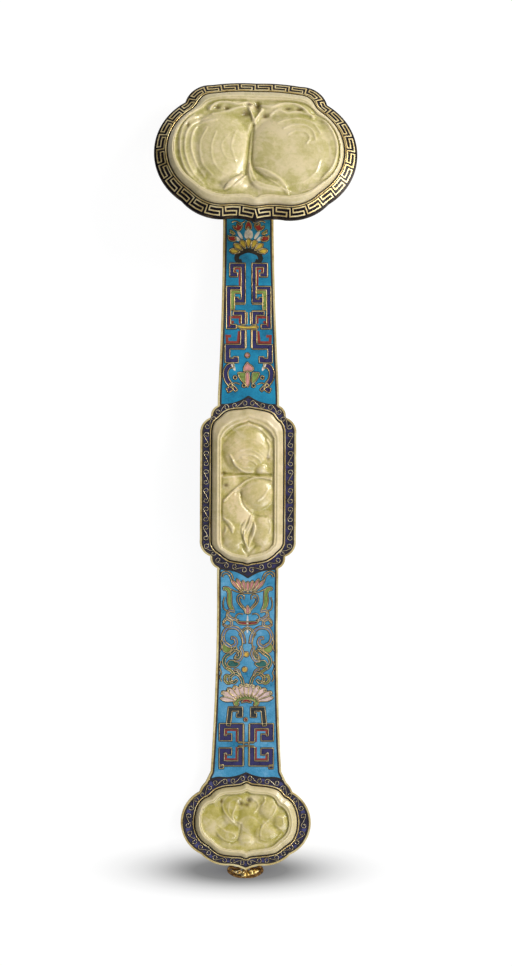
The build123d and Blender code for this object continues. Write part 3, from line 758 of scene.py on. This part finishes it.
line_step = 0.4
corner_reach = 5.0
stone_gap = 0.45
bezel_offset = 1.12
edge_seam_step = 0.8
edge_seam_offset = 0.12
edge_seam_radius = 0.5
shaft_edge_facing = 0.2
tail_outline = [
    (743, 236), (700, 257), (640, 268), (560, 275), (500, 286), (442, 310), (404, 343), (378, 368),
    (336, 388), (290, 430), (258, 500), (243, 580), (243, 660), (262, 730), (300, 790), (346, 828),
    (384, 852), (422, 886), (470, 920), (530, 938), (600, 946), (690, 952), (740, 970), (790, 952),
    (880, 942), (970, 932), (1038, 914), (1088, 880), (1120, 852), (1152, 830), (1192, 796), (1226, 730),
    (1240, 660), (1240, 580), (1222, 500), (1190, 432), (1150, 394), (1114, 374), (1092, 346), (1058, 310),
    (1000, 286), (930, 273), (850, 265), (788, 256)]
middle_outline = [
    (445, 140), (400, 147), (350, 150), (300, 158), (262, 175), (235, 200), (212, 222), (188, 242),
    (173, 268), (166, 305), (163, 345), (163, 600), (163, 900), (163, 1165), (172, 1212), (198, 1248),
    (235, 1275), (265, 1300), (302, 1322), (360, 1335), (410, 1342), (443, 1352), (480, 1342), (530, 1335),
    (590, 1320), (640, 1288), (668, 1260), (695, 1236), (711, 1208), (718, 1165), (719, 900), (719, 600),
    (718, 345), (712, 292), (696, 256), (670, 234), (652, 212), (636, 190), (602, 170), (550, 157),
    (490, 147)]
plaque_places = {
    "head": plane_at(0.0, 186.57, 39.0, tilt=radians(-25.0), spin=radians(-1.0)),
    "middle": plane_at(shaft_line, -3.07, 28.0),
    "tail": plane_at(shaft_line, -192.25, 9.0)}
stone_lines = {
    "head": stone_line("head_jade", plaque_places["head"], corner_reach),
    "middle": evenly(on_stone(flowing(middle_outline, True), middle_drawing), line_step),
    "tail": evenly(on_stone(flowing(tail_outline, True), tail_drawing), line_step)}
cell_materials["night"] = night_blue
scroll_wire = wire_gilding(
    "pale_scroll_wire", ((140, 118, 84), (196, 178, 140), (232, 220, 190)), metallic=0.75)
scroll_pitches = {"middle": 10.9, "tail": 9.6}
patched_border = "tail"
patch_radius = 1.7
patch_corners = 12
rim_step = 0.5
scroll_margin = 0.5
band_width = 2.0
for name, pitch in scroll_pitches.items():
    place = plaque_places[name]
    shift = (place.translation.x / mm, place.translation.y / mm)
    rim = edge_loops(name + "_border_enamel", place, 1)[0]
    outer = stepped(rim, True, rim_step)
    inner = moved_out(stone_lines[name], bezel_offset + scroll_margin)
    nearest = inner[np.linalg.norm(outer[:, None] - inner[None], axis=2).argmin(axis=1)]
    centre_line = (outer + nearest) / 2
    centre_line = np.roll(centre_line, -centre_line[:, 1].argmin(), axis=0)
    if centre_line[len(centre_line) // 4, 0] > 0:
        centre_line = np.roll(centre_line[::-1], 1, axis=0)
    half_line = centre_line[:centre_line[:, 1].argmax() + 1]
    length = reaches(half_line)[-1]
    count = round(length / pitch)
    shape = letter_s(length / count * scroll_length_share / 2, scroll_curl)
    runs = []
    cells = []
    for number in range(count):
        middle = (number + 0.5) * length / count
        places, sideways = along(half_line, middle + shape[:, 1])
        run = places - sideways * shape[:, :1]
        end = places_at(half_line, [middle + length / count / 2])[0]
        for hand in (1, -1):
            runs.append((False, run * (hand, 1) + shift))
            if name == patched_border:
                cells.append(("sky", round_outline(end * (hand, 1) + shift, patch_radius, patch_corners)))
    near, far = [moved_out(stone_lines[name], bezel_offset + width) for width in (0, band_width)]
    half = len(near) // 2
    near, far = [np.concatenate((line, line[:1])) for line in (near, far)]
    for part in (slice(0, half + 1), slice(half, None)):
        cells.append(("night", np.concatenate((near[part], far[part][::-1])) + shift))
    skin = surface_of(name + "_border_enamel", "shaft_front_plate")
    inlaid_cells(name + "_border_cells", cells, skin)
    inlaid_wires(name + "_scroll_wires", runs, skin, scroll_wire)
    edge_seam(name, rim + shift, skin)
for name in ("upper", "lower"):
    edge = edge_loops(name + "_shaft_enamel", plane_at(0, 0, 0), 1, shaft_edge_facing)[0]
    edge_seam(name, edge, surface_of(name + "_shaft_enamel", "shaft_front_plate"))

# Fret wires and bezels: gilt wire soldered on the head's slope, softer than the shaft's, and a thin
# collar round each stone, with painted shade, a dark ring, in the gap inside it.
bezel_radius = 0.32
bezel_height = 0.45
groove_height = -0.1
groove_offset = 0.4
groove_radius = 0.5
fret_gilt = wire_gilding(
    "fret_wire_gilding", ((150, 120, 68), (226, 202, 140), (248, 234, 188)),
    roughness=(0.4, 0.54), metallic=0.7)
dress("head_fret_wires", fret_gilt)


def ring_round(name, outline, place, height, radius, material):
    """A round wire that lies at one height over a plaque's plane."""
    mesh = wire_mesh(name, [(True, [(x, y, height) for x, y in outline])], radius, material)
    mesh.transform(place)
    return mesh


for name, place in plaque_places.items():
    collar = moved_out(stone_lines[name], bezel_offset)
    mesh = ring_round(name + "_collar", collar, place, bezel_height, bezel_radius, bright_gilt)
    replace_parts(place_piece(name + "_collar", mesh), name + "_bezel")
    # A dark ring in the gap inside each collar: painted shade.
    groove = moved_out(stone_lines[name], groove_offset)
    mesh = ring_round(name + "_groove_painted_shade", groove, place, groove_height, groove_radius, dark_seam_and_painted_shade)
    place_piece(name + "_groove_painted_shade", mesh)

# Bedding: dark lacquer paste that each stone is set in. It fills the seat under the stone and is
# hardly seen, only in the gap round the edge.
paste = shaded(
    "lacquer_paste", ((26, 18, 14), (48, 34, 26), (66, 50, 38)), (0.3, 0.5, 0.7),
    patch=300.0, grain=1500.0, roughness=(0.6, 0.8), bump=0.04)
for paste_node in ("head_bedding", "middle_bedding", "tail_bedding"):
    dress(paste_node, paste)

# Jade plaques: each is one slab of pale stone with a sloping moulding, two fine raised lines and a
# sunk ground, on which fruit, leaves and a branch are cut in low relief: two large peaches on the
# head, peaches over hanging leaves on the middle plaque, fruit among leaves on the tail.
head_drawing = (761, 516, 0.0863, 0.0953)
head_ground = [
    (500, 215), (560, 205), (760, 203), (1000, 208), (1080, 225), (1130, 260), (1160, 292), (1220, 330),
    (1275, 400), (1302, 480), (1305, 560), (1285, 640), (1240, 700), (1180, 745), (1130, 785), (1060, 815),
    (960, 830), (860, 822), (800, 828), (763, 846), (725, 828), (660, 822), (560, 828), (480, 812),
    (420, 785), (370, 750), (310, 700), (265, 640), (238, 570), (235, 500), (248, 430), (275, 375),
    (315, 325), (360, 290), (405, 265), (440, 235)]
middle_ground = [
    (238, 420), (250, 358), (300, 305), (370, 268), (425, 250), (445, 240), (465, 250), (520, 268),
    (585, 305), (630, 358), (642, 420), (642, 800), (642, 1160), (625, 1215), (590, 1248), (520, 1272),
    (465, 1284), (443, 1296), (420, 1284), (330, 1268), (265, 1235), (240, 1180), (238, 800)]
tail_ground = [
    (745, 318), (700, 338), (600, 350), (535, 352), (488, 368), (455, 402), (432, 432), (385, 442),
    (345, 466), (318, 515), (306, 580), (310, 650), (332, 712), (370, 758), (415, 788), (450, 828),
    (505, 860), (580, 878), (680, 886), (745, 902), (810, 886), (900, 874), (965, 862), (1015, 836),
    (1055, 798), (1100, 760), (1138, 710), (1155, 640), (1150, 570), (1130, 512), (1092, 472), (1052, 448),
    (1030, 408), (1000, 372), (940, 350), (860, 345), (790, 338)]

# Rows read off enlarged drawings, y down: a kind, its height in mm, its size in drawing units, and
# the places of each stroke of that kind.
head_strokes = [
    ("dome", 3.3, (188, 235), [(528, 515)]),
    ("dome", 3.6, (285, 240), [(1000, 530)]),
    ("dome", 1.6, (85, 230), [(330, 500)]),
    ("dome", 1.7, (90, 220), [(1230, 520)]),
    ("dome", 1.8, (170, 50), [(600, 250)]),
    ("dome", 1.8, (200, 50), [(960, 260)]),
    ("dome", 1.7, (90, 50), [(620, 760)]),
    ("dome", 1.5, (130, 45), [(850, 770)]),
    ("ridge", 0.5, 12, [(500, 345), (400, 370), (350, 430), (340, 540), (380, 650), (430, 720)],
        [(440, 330), (350, 370), (305, 440), (300, 560), (345, 680), (420, 760)],
        [(400, 310), (310, 350), (270, 440), (268, 560), (310, 680), (400, 770)]),
    ("ridge", 0.25, 10, [(500, 430), (470, 530), (490, 640), (560, 700), (640, 690)],
        [(630, 420), (600, 520), (630, 620)]),
    ("ridge", 0.2, 10, [(580, 450), (536, 520), (566, 600), (630, 610)]),
    ("ridge", 0.3, 10, [(440, 400), (396, 500), (410, 630), (480, 712)]),
    ("ridge", 0.45, 10, [(900, 360), (960, 335), (1050, 325), (1130, 350), (1180, 420)],
        [(940, 400), (1000, 375), (1080, 375), (1130, 410), (1150, 470)]),
    ("ridge", 0.4, 10, [(970, 440), (1020, 415), (1080, 420), (1110, 460), (1090, 500)]),
    ("ridge", 0.6, 13, [(1120, 300), (1210, 340), (1270, 430), (1290, 530), (1260, 640), (1190, 720)]),
    ("ridge", 0.5, 11, [(1080, 290), (1180, 305), (1250, 365)],
        [(1312, 470), (1312, 580), (1270, 690), (1180, 765), (1060, 800)]),
    ("ridge", 0.3, 11, [(1180, 600), (1150, 680), (1080, 740), (1000, 760)]),
    ("leaf", 1.2, 30, [(692, 695), (640, 742), (560, 797)]),
    ("leaf", 1.2, 28, [(745, 650), (830, 695), (930, 760), (975, 822)]),
    ("leaf", 1.0, 24, [(722, 620), (732, 700), (770, 765), (860, 790), (990, 800)]),
    ("ridge", 1.4, 15, [(715, 262), (732, 300), (745, 350)], [(795, 270), (770, 310), (745, 350)]),
    ("ridge", 1.2, 16, [(455, 268), (500, 230), (560, 224), (640, 238), (700, 224), (735, 242)]),
    ("ridge", 0.8, 12, [(470, 300), (540, 290), (610, 270), (680, 250)]),
    ("ridge", 1.1, 16, [(790, 240), (860, 252), (930, 228), (1010, 228), (1070, 262), (1130, 312)]),
    ("ridge", 0.7, 12, [(850, 300), (900, 272), (960, 290), (1030, 280), (1100, 300)]),
    ("cut", 1.2, 14, [(745, 345), (722, 420), (708, 520), (700, 620), (690, 695)]),
    ("cut", 0.8, 12, [(745, 345), (737, 470), (735, 630), (790, 692), (880, 738), (950, 792)]),
    ("cut", 0.8, 10, [(690, 695), (640, 752), (560, 806), (440, 790)]),
    ("pit", 1.0, (22, 14), [(505, 258), (565, 265), (815, 305)]),
    ("pit", 0.9, (28, 20), [(690, 290)]),
    ("pit", 1.6, (22, 34), [(765, 240)]),
    ("pit", 0.8, (26, 10), [(965, 262), (1040, 265), (718, 234)]),
    ("pit", 0.5, (10, 20), [(315, 380)]),
]
middle_strokes = [
    ("ridge", 0.16, 9, [(297, 451), (363, 401), (454, 375), (532, 401), (585, 451)]),
    ("ridge", 0.2, 9, [(350, 490), (428, 451), (519, 464), (585, 516)],
        [(402, 490), (493, 510), (559, 549)], [(389, 523), (474, 549), (532, 588)],
        [(304, 503), (336, 569), (389, 621)]),
    ("dome", 2.4, (180, 185), [(425, 470)]),
    ("dome", 1.7, (50, 45), [(545, 612)]),
    ("dome", 2.2, (130, 125), [(515, 812)]),
    ("dome", 1.5, (140, 130), [(350, 930)]),
    ("dome", 1.6, (95, 105), [(335, 1140)]),
    ("dome", 1.7, (85, 125), [(555, 1100)]),
    ("dome", 1.1, (150, 60), [(445, 265)]),
    ("dome", 0.8, (70, 60), [(300, 720)]),
    ("ridge", 0.7, 13, [(235, 340), (330, 262), (445, 212), (560, 262), (640, 345)],
        [(590, 380), (614, 440), (600, 520)]),
    ("ridge", 0.5, 11, [(250, 380), (345, 298), (445, 262), (540, 300), (615, 380)]),
    ("ridge", 0.6, 10, [(320, 545), (350, 590), (420, 635), (480, 640)]),
    ("ridge", 0.4, 9, [(300, 500), (340, 560), (400, 600), (450, 600)]),
    ("ridge", 0.35, 9, [(380, 470), (450, 460), (520, 490), (570, 540)],
        [(395, 520), (460, 500), (520, 530), (550, 560)]),
    ("ridge", 0.3, 8, [(420, 560), (470, 545), (510, 575)]),
    ("ridge", 0.6, 9, [(245, 682), (340, 668), (430, 664), (500, 672)]),
    ("ridge", 1.4, 12, [(255, 862), (300, 815), (345, 770), (390, 735), (440, 700), (520, 678),
        (625, 690)]),
    ("ridge", 0.5, 9, [(335, 820), (350, 785), (400, 760)]),
    ("ridge", 0.4, 11, [(520, 860), (560, 830), (600, 780)]),
    ("ridge", 0.6, 11, [(610, 1010), (627, 1060), (615, 1110)],
        [(250, 1240), (330, 1308), (440, 1335), (550, 1308), (625, 1245)]),
    ("leaf", 1.2, 22, [(475, 965), (462, 1040), (425, 1130), (440, 1235)]),
    ("leaf", 0.9, 16, [(435, 1010), (405, 1090), (425, 1190)]),
    ("leaf", 0.9, 15, [(487, 1000), (492, 1080), (465, 1165), (448, 1240)]),
    ("leaf", 0.8, 17, [(250, 992), (290, 1030), (320, 1075), (325, 1115)]),
    ("leaf", 0.5, 11, [(264, 1040), (272, 1090), (252, 1122)]),
    ("cut", 1.0, 13, [(238, 640), (320, 655), (420, 652), (520, 656), (620, 656)]),
    ("cut", 0.7, 11, [(385, 800), (400, 880), (440, 932), (500, 975), (580, 985)]),
    ("cut", 0.7, 15, [(395, 1210), (440, 1272), (500, 1220)]),
    ("pit", 0.6, (20, 16), [(250, 648), (270, 740)]),
    ("pit", 0.6, (12, 22), [(600, 522)]),
]
tail_strokes = [
    ("dome", 0.8, (110, 130), [(420, 590)]),
    ("dome", 1.5, (85, 120), [(580, 520)]),
    ("dome", 0.9, (95, 200), [(755, 620)]),
    ("dome", 1.9, (100, 105), [(965, 480)]),
    ("dome", 1.5, (75, 90), [(1085, 610)]),
    ("dome", 1.4, (110, 70), [(560, 740)]),
    ("dome", 1.5, (80, 55), [(740, 790)]),
    ("dome", 1.6, (120, 80), [(930, 720)]),
    ("ridge", 0.6, 11, [(505, 400), (520, 500), (590, 590), (640, 640)]),
    ("ridge", 0.6, 13, [(640, 470), (612, 530), (620, 590), (690, 627)]),
    ("ridge", 0.4, 9, [(575, 440), (568, 510), (600, 565)],
        [(890, 660), (960, 640), (1040, 650), (1090, 690)]),
    ("ridge", 0.5, 10, [(690, 380), (650, 410), (640, 460)]),
    ("ridge", 0.6, 10, [(800, 380), (852, 420), (860, 470), (820, 520)],
        [(1060, 560), (1100, 572), (1112, 620)]),
    ("ridge", 0.8, 9, [(920, 368), (926, 410), (900, 446)]),
    ("ridge", 0.5, 13, [(1020, 400), (1040, 460), (1010, 540), (960, 590), (905, 650), (882, 700),
        (880, 745)]),
    ("ridge", 0.45, 14, [(450, 710), (480, 752), (530, 790), (590, 812), (650, 816)]),
    ("ridge", 0.5, 9, [(470, 650), (530, 700), (600, 720), (650, 760)],
        [(880, 785), (960, 800), (1040, 780), (1090, 720)]),
    ("cut", 0.6, 18, [(690, 640), (676, 720), (648, 790), (590, 832)]),
    ("cut", 0.4, 14, [(885, 650), (868, 760)]),
    ("pit", 0.9, (28, 22), [(690, 435), (745, 445)]),
    ("pit", 1.5, (28, 28), [(765, 400)]),
    ("pit", 0.6, (22, 24), [(500, 410)]),
    ("pit", 0.3, (8, 8), [(320, 490), (1130, 550)]),
]


def nearest_on(u, v, line, closed=False):
    """Distance of each place of a grid from a line, and how far along the line its nearest point is."""
    ends = np.roll(line, -1, axis=0) if closed else line[1:]
    best = np.full(u.shape, np.inf)
    share = np.zeros(u.shape)
    for number, (start, end) in enumerate(zip(line, ends)):
        way = end - start
        t = ((u - start[0]) * way[0] + (v - start[1]) * way[1]) / max(way @ way, 1e-12)
        t = np.clip(t, 0, 1)
        distance = np.hypot(u - start[0] - t * way[0], v - start[1] - t * way[1])
        nearer = distance < best
        best[nearer] = distance[nearer]
        share[nearer] = (number + t[nearer]) / len(ends)
    return best, share


def is_inside(u, v, outline):
    """Places of a grid that lie in a closed outline."""
    inside = np.zeros(u.shape, bool)
    for start, end in zip(outline, np.roll(outline, -1, axis=0)):
        if start[1] == end[1]:
            continue
        spans = (start[1] > v) != (end[1] > v)
        inside ^= spans & (u < start[0] + (v - start[1]) * (end[0] - start[0]) / (end[1] - start[1]))
    return inside


def softened(field, times):
    """A field with each value spread over its neighbours some times."""
    for _ in range(times):
        wide = np.pad(field, 1, mode="edge")
        sides = wide[:-2, 1:-1] + wide[2:, 1:-1] + wide[1:-1, :-2] + wide[1:-1, 2:]
        field = (sides + 4 * wide[1:-1, 1:-1]) / 8
    return field


stroke_fineness = 0.8
dome_softening = 7
dome_roundness = 0.72
dome_steepness = 1.25
pit_fade = 1.2
leaf_fullness = 0.6
leaf_tips = (0.02, 0.98)
vein_depth = 0.4
vein_width = 0.2


def relief(u, v, strokes, drawing):
    """Height of the carving over the ground, and how deep a place is in a drilled pit."""
    unit_u, unit_v = drawing[2:]
    height = np.zeros(u.shape)
    domes = np.zeros(u.shape)
    pits = np.zeros(u.shape)
    for kind, tall, size, *runs in strokes:
        for line in [on_stone(points, drawing) for points in runs]:
            if kind in ("dome", "pit"):
                for place in line:
                    far = ((u - place[0]) / size[0] / unit_u) ** 2 + ((v - place[1]) / size[1] / unit_v) ** 2
                    if kind == "dome":
                        rise = np.clip(1 - far ** dome_steepness, 0, 1) ** dome_roundness
                        domes = np.maximum(domes, tall * rise)
                    else:
                        bore = np.exp(-pit_fade * far)
                        height -= tall * bore
                        pits = np.maximum(pits, bore)
                continue
            width = size * (unit_u + unit_v) / 2
            distance, share = nearest_on(u, v, flowing(line, False))
            if kind == "leaf":
                half = width * np.sin(pi * np.clip(share, *leaf_tips)) ** leaf_fullness
                height += tall * np.sqrt(np.clip(1 - (distance / half) ** 2, 0, 1))
                height -= vein_depth * tall * np.exp(-(distance / (vein_width * width)) ** 2)
            else:
                deep = tall if kind == "ridge" else -tall
                height += deep * np.exp(-2 * (distance / width / stroke_fineness) ** 2)
    return softened(domes, dome_softening) + softened(height, 1), pits


def snapped(place, outline):
    """Nearest point of a closed outline."""
    way = np.roll(outline, -1, axis=0) - outline
    t = np.clip(((place - outline) * way).sum(axis=1) / (way * way).sum(axis=1), 0, 1)
    points = outline + way * t[:, None]
    return points[np.linalg.norm(points - place, axis=1).argmin()]


jade_grid = 0.42
jade_underside = -1.4
ground_run = 0.9
rim_reflection_width = 1.2
painted_light_spread = 30
hollow_shade_gain = 1.6
crest_highlight_gain = 2.4
highlight_rise = 3.0
shade_margin = 0.6
trim_share = 0.45
sharp_angle = 55


def carved_stone(node, place, outline, strokes, drawing, moulding, ground, stone, cutting=1.0):
    """A plaque on its outline: a moulding, then the ground, carved as deep as the cutting says."""
    low = outline.min(axis=0) - jade_grid
    high = outline.max(axis=0) + jade_grid
    counts = np.ceil((high - low) / jade_grid).astype(int)
    u, v = np.meshgrid(*[np.linspace(low[axis], high[axis], counts[axis] + 1) for axis in (0, 1)])
    distance, _ = nearest_on(u, v, outline, True)
    depth = np.where(is_inside(u, v, outline), distance, -distance)
    steps, heights = np.array(moulding).T
    field = on_stone(flowing(ground, True), drawing)
    distance, _ = nearest_on(u, v, field, True)
    run_share = depth / np.maximum(depth + distance, 1e-6)
    depth = np.where(depth > 0, steps[-1] * run_share, depth)
    depth = np.where(is_inside(u, v, field), steps[-1] + distance, depth)
    carving, pits = relief(u, v, strokes, drawing)
    inner = np.clip((depth - steps[-1]) / ground_run, 0, 1)
    height = np.interp(depth, steps, heights) + cutting * carving * inner * inner * (3 - 2 * inner)
    # Painted light in the stone's colour: painted shade in hollows, painted highlights on crests and on
    # raised relief, and a painted reflection at the rim. Pits carry brown stain.
    over = height - softened(height, painted_light_spread)
    masks = {
        "hollow_shade": np.clip(-over * hollow_shade_gain, 0, 1) * (depth > steps[-1] - shade_margin),
        "pit": pits,
        "rim": np.clip(rim_reflection_width - depth / steps[-1], 0, 1),
        "crest_highlight": np.clip(over * crest_highlight_gain, 0, 1),
        "raised": np.clip((height - heights[-1]) / highlight_rise, 0, 1)}
    slab = bmesh.new()
    layers = {key: slab.verts.layers.float.new(key) for key in masks}
    bmesh.ops.create_grid(slab, x_segments=int(counts[0]), y_segments=int(counts[1]), size=1.0)
    outside = []
    for vert in slab.verts:
        i = round((vert.co.x + 1) / 2 * counts[0])
        j = round((vert.co.y + 1) / 2 * counts[1])
        vert.co = (u[j, i] * mm, v[j, i] * mm, height[j, i] * mm)
        for key, mask in masks.items():
            vert[layers[key]] = mask[j, i]
        if depth[j, i] < -trim_share * jade_grid:
            outside.append(vert)
    bmesh.ops.delete(slab, geom=outside, context="VERTS")
    rim = [edge for edge in slab.edges if edge.is_boundary]
    for vert in {vert for edge in rim for vert in edge.verts}:
        vert.co.xy = snapped(np.array(vert.co.xy) / mm, outline) * mm
        vert.co.z = heights[0] * mm
    skirt = bmesh.ops.extrude_edge_only(slab, edges=rim)["geom"]
    for item in skirt:
        if isinstance(item, bmesh.types.BMVert):
            item.co.z = jade_underside * mm
    low_rim = [edge for edge in slab.edges if edge.is_boundary]
    under = bmesh.ops.contextual_create(slab, geom=low_rim)["faces"]
    bmesh.ops.triangulate(slab, faces=under, ngon_method="EAR_CLIP")
    bmesh.ops.recalc_face_normals(slab, faces=slab.faces)
    bmesh.ops.transform(slab, matrix=place, verts=slab.verts)
    for face in slab.faces:
        face.smooth = True
    mesh = mesh_from("carved_" + node, slab, stone)
    mesh.set_sharp_from_angle(angle=radians(sharp_angle))
    obj = place_piece("carved_" + node, mesh)
    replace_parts(obj, node)


def jade_finish(name, deep, body, pale):
    """Pale green-yellow stone with a soft glow and brown in pits, with painted shade in hollows, painted
    highlights on crests and raised relief, and a painted reflection at the rim.
    """
    material = shaded(
        name, (deep, body, pale), (0.40, 0.5, 0.60),
        patch=64.0, grain=420.0, roughness=(0.22, 0.36), coat=0.2, bump=0.09)
    tree = material.node_tree
    shader = tree.nodes["Principled BSDF"]
    place = add_node(tree, "TexCoord")
    veins = add_node(tree, "TexNoise", {"Scale": 70.0, "Detail": 4.0, "Distortion": 2.6})
    streaks = add_node(tree, "MapRange", {"From Min": 0.5, "From Max": 0.72, "To Max": 0.65})
    join(tree, (place, "Object", veins, "Vector"), (veins, "Fac", streaks, "Value"))
    tints_and_painted_light = [(streaks, "Result", (232, 216, 180))]
    # Painted highlights on raised relief and crests, a painted reflection at the rim, painted shade in
    # hollows, and brown stain in pits.
    for key, shade, share in (("raised", pale, 0.35), ("rim", (204, 188, 158), 0.6),
                              ("crest_highlight", (236, 220, 182), 0.7), ("hollow_shade", (150, 146, 66), 0.55),
                              ("pit", (104, 80, 36), 0.8)):
        mask = add_node(tree, "Attribute", attribute_name=key)
        amount = add_node(tree, "Math", {1: share}, operation="MULTIPLY")
        join(tree, (mask, "Fac", amount, 0))
        tints_and_painted_light.append((amount, "Value", shade))
    colour = shader.inputs["Base Color"].links[0].from_socket
    for amount, outlet, shade in tints_and_painted_light:
        blend = add_node(tree, "Mix", {"B": tone(*shade)}, data_type="RGBA")
        join(tree, (amount, outlet, blend, "Factor"))
        tree.links.new(colour, blend.inputs["A"])
        colour = blend.outputs["Result"]
    tree.links.new(colour, shader.inputs["Base Color"])
    shader.inputs["Subsurface Weight"].default_value = 0.10
    shader.inputs["Subsurface Radius"].default_value = (1.0, 0.9, 0.5)
    shader.inputs["Subsurface Scale"].default_value = 2.0 * mm
    return material


head_moulding = [
    (0.0, 1.1), (0.6, 1.9), (2.8, 3.2), (3.3, 3.6), (3.7, 3.6), (4.0, 3.3), (4.6, 3.7), (4.9, 3.6),
    (5.7, 2.6)]
small_moulding = [
    (0.0, 1.1), (0.5, 1.7), (2.4, 2.6), (3.0, 3.0), (3.4, 3.0), (3.8, 2.7), (4.3, 2.75), (4.7, 3.0),
    (5.0, 2.8), (5.6, 1.8)]
tail_cutting = 0.7
head_stone = jade_finish("head_celadon_jade", (176, 168, 92), (199, 188, 128), (224, 208, 164))
middle_stone = jade_finish("middle_celadon_jade", (176, 164, 82), (199, 184, 116), (230, 208, 160))
tail_stone = jade_finish("tail_celadon_jade", (172, 160, 66), (193, 180, 96), (220, 203, 142))
carved_stone("head_jade", plaque_places["head"], stone_lines["head"], head_strokes, head_drawing,
             head_moulding, head_ground, head_stone)
carved_stone("middle_jade", plaque_places["middle"], stone_lines["middle"], middle_strokes, middle_drawing,
             small_moulding, middle_ground, middle_stone)
carved_stone("tail_jade", plaque_places["tail"], stone_lines["tail"], tail_strokes, tail_drawing,
             small_moulding, tail_ground, tail_stone, tail_cutting)

# Tassel loop: a small cast openwork piece under the tail's tip, chased as a cloud with two curled
# lobes and beads between them, deep gold on its crests and brown in its hollows. It swings with its
# pin. Places are read off the enlarged drawing of the loop, y down, from its lowest point.
loop_axis = (740, 570)
loop_unit = 0.018
loop_end = -225.0
old_gilt = shaded(
    "old_brown_gilding", ((50, 28, 12), (128, 90, 42), (214, 176, 108)), (0.36, 0.52, 0.70),
    patch=420.0, grain=1800.0, roughness=(0.3, 0.46), metallic=0.75, bump=0.03)
deep_gilt = shaded(
    "deep_cast_gilding", ((120, 74, 24), (226, 184, 100), (255, 240, 190)), (0.32, 0.46, 0.62),
    patch=420.0, grain=1800.0, roughness=(0.2, 0.34), metallic=0.85, bump=0.03)
dress("tassel_loop", old_gilt)
loop_scrolls = [
    (0.50, [(300, 305), (318, 372), (360, 428), (430, 476), (520, 516), (620, 542), (740, 550), (860, 532),
            (960, 498), (1060, 452), (1160, 402), (1240, 345), (1278, 300)]),
    (0.42, [(312, 330), (372, 350), (430, 400), (500, 430), (570, 410), (600, 360), (560, 325), (500, 330)]),
    (0.42, [(1110, 420), (1180, 388), (1236, 330), (1200, 300), (1140, 318), (1120, 350)]),
    (0.50, [(650, 352), (632, 410), (650, 470), (690, 505)]),
    (0.46, [(690, 505), (760, 480), (830, 470), (850, 420), (820, 385)])]
bright_scrolls = (1, 3, 4)
loop_beads = [(1.95, 700, 456), (1.6, 812, 444), (1.2, 664, 380), (2.0, 930, 384), (1.7, 1030, 364),
              (1.1, 1108, 342), (0.95, 540, 390), (0.7, 446, 360), (0.9, 862, 474)]
scroll_lean = 0.18
scroll_sink = 0.25
bead_squash = (1.0, 0.85, 0.75, 1.0)


def loop_spot(x, y):
    """Place of the loop's drawing in mm on the sceptre."""
    return shaft_line + (x - loop_axis[0]) * loop_unit, loop_end + (loop_axis[1] - y) * loop_unit


loop_skin = surface_of("tassel_loop")
for number, (thick, points) in enumerate(loop_scrolls):
    run = np.array([loop_spot(x, y) for x, y in flowing(points, False)])
    height = max(level(loop_skin, x, y) for x, y in run) / mm
    lean = [(x, y, height + (y - run[:, 1].max()) * scroll_lean - scroll_sink * thick) for x, y in run]
    name = f"loop_scroll_{number + 1}"
    finish = deep_gilt if number in bright_scrolls else old_gilt
    place_piece(name, wire_mesh(name, [(False, lean)], thick, finish), "loop")
beads = bmesh.new()
for radius, x, y in loop_beads:
    spot_x, spot_y = loop_spot(x, y)
    height = level(loop_skin, spot_x, spot_y) / mm
    place = Matrix.Translation((spot_x * mm, spot_y * mm, height * mm)) @ Matrix.Diagonal(bead_squash)
    bmesh.ops.create_icosphere(beads, subdivisions=3, radius=radius * mm, matrix=place)
bead_mesh = mesh_from("loop_beads", beads, deep_gilt)
bead_mesh.shade_smooth()
place_piece("loop_beads", bead_mesh, "loop")

# Back of the shaft: the enamel panel let into the back shell carries a plain traditional pattern,
# rows of little cloud scrolls in gilt wire. The photo does not show the back.
cloud_row_pitch = 9.0
cloud_columns = ((0.0,), (-5.6, 5.6))
lower_margin = 6.0
upper_margin = 4.0
cloud_points = [
    (-4.2, -0.6), (-3.0, -1.6), (-1.4, -1.0), (-1.6, 0.6), (-3.0, 0.8), (-2.6, 2.0), (-0.8, 2.6),
    (0.8, 2.6), (2.6, 2.0), (3.0, 0.8), (1.6, 0.6), (1.4, -1.0), (3.0, -1.6), (4.2, -0.6)]
cloud_line = flowing(cloud_points, False)
back_skin = surface_of("back_enamel")
back_ys = [vert.co.y / mm for vert in nodes["back_enamel"].data.vertices]
cloud_rows = np.arange(min(back_ys) + lower_margin, max(back_ys) - upper_margin, cloud_row_pitch)
cloud_runs = []
for number, row in enumerate(cloud_rows):
    for column in cloud_columns[number % 2]:
        cloud_runs.append((False, cloud_line + (shaft_line + column, row)))
inlaid_wires("back_cloud_wires", cloud_runs, back_skin, bright_gilt, side=-1)
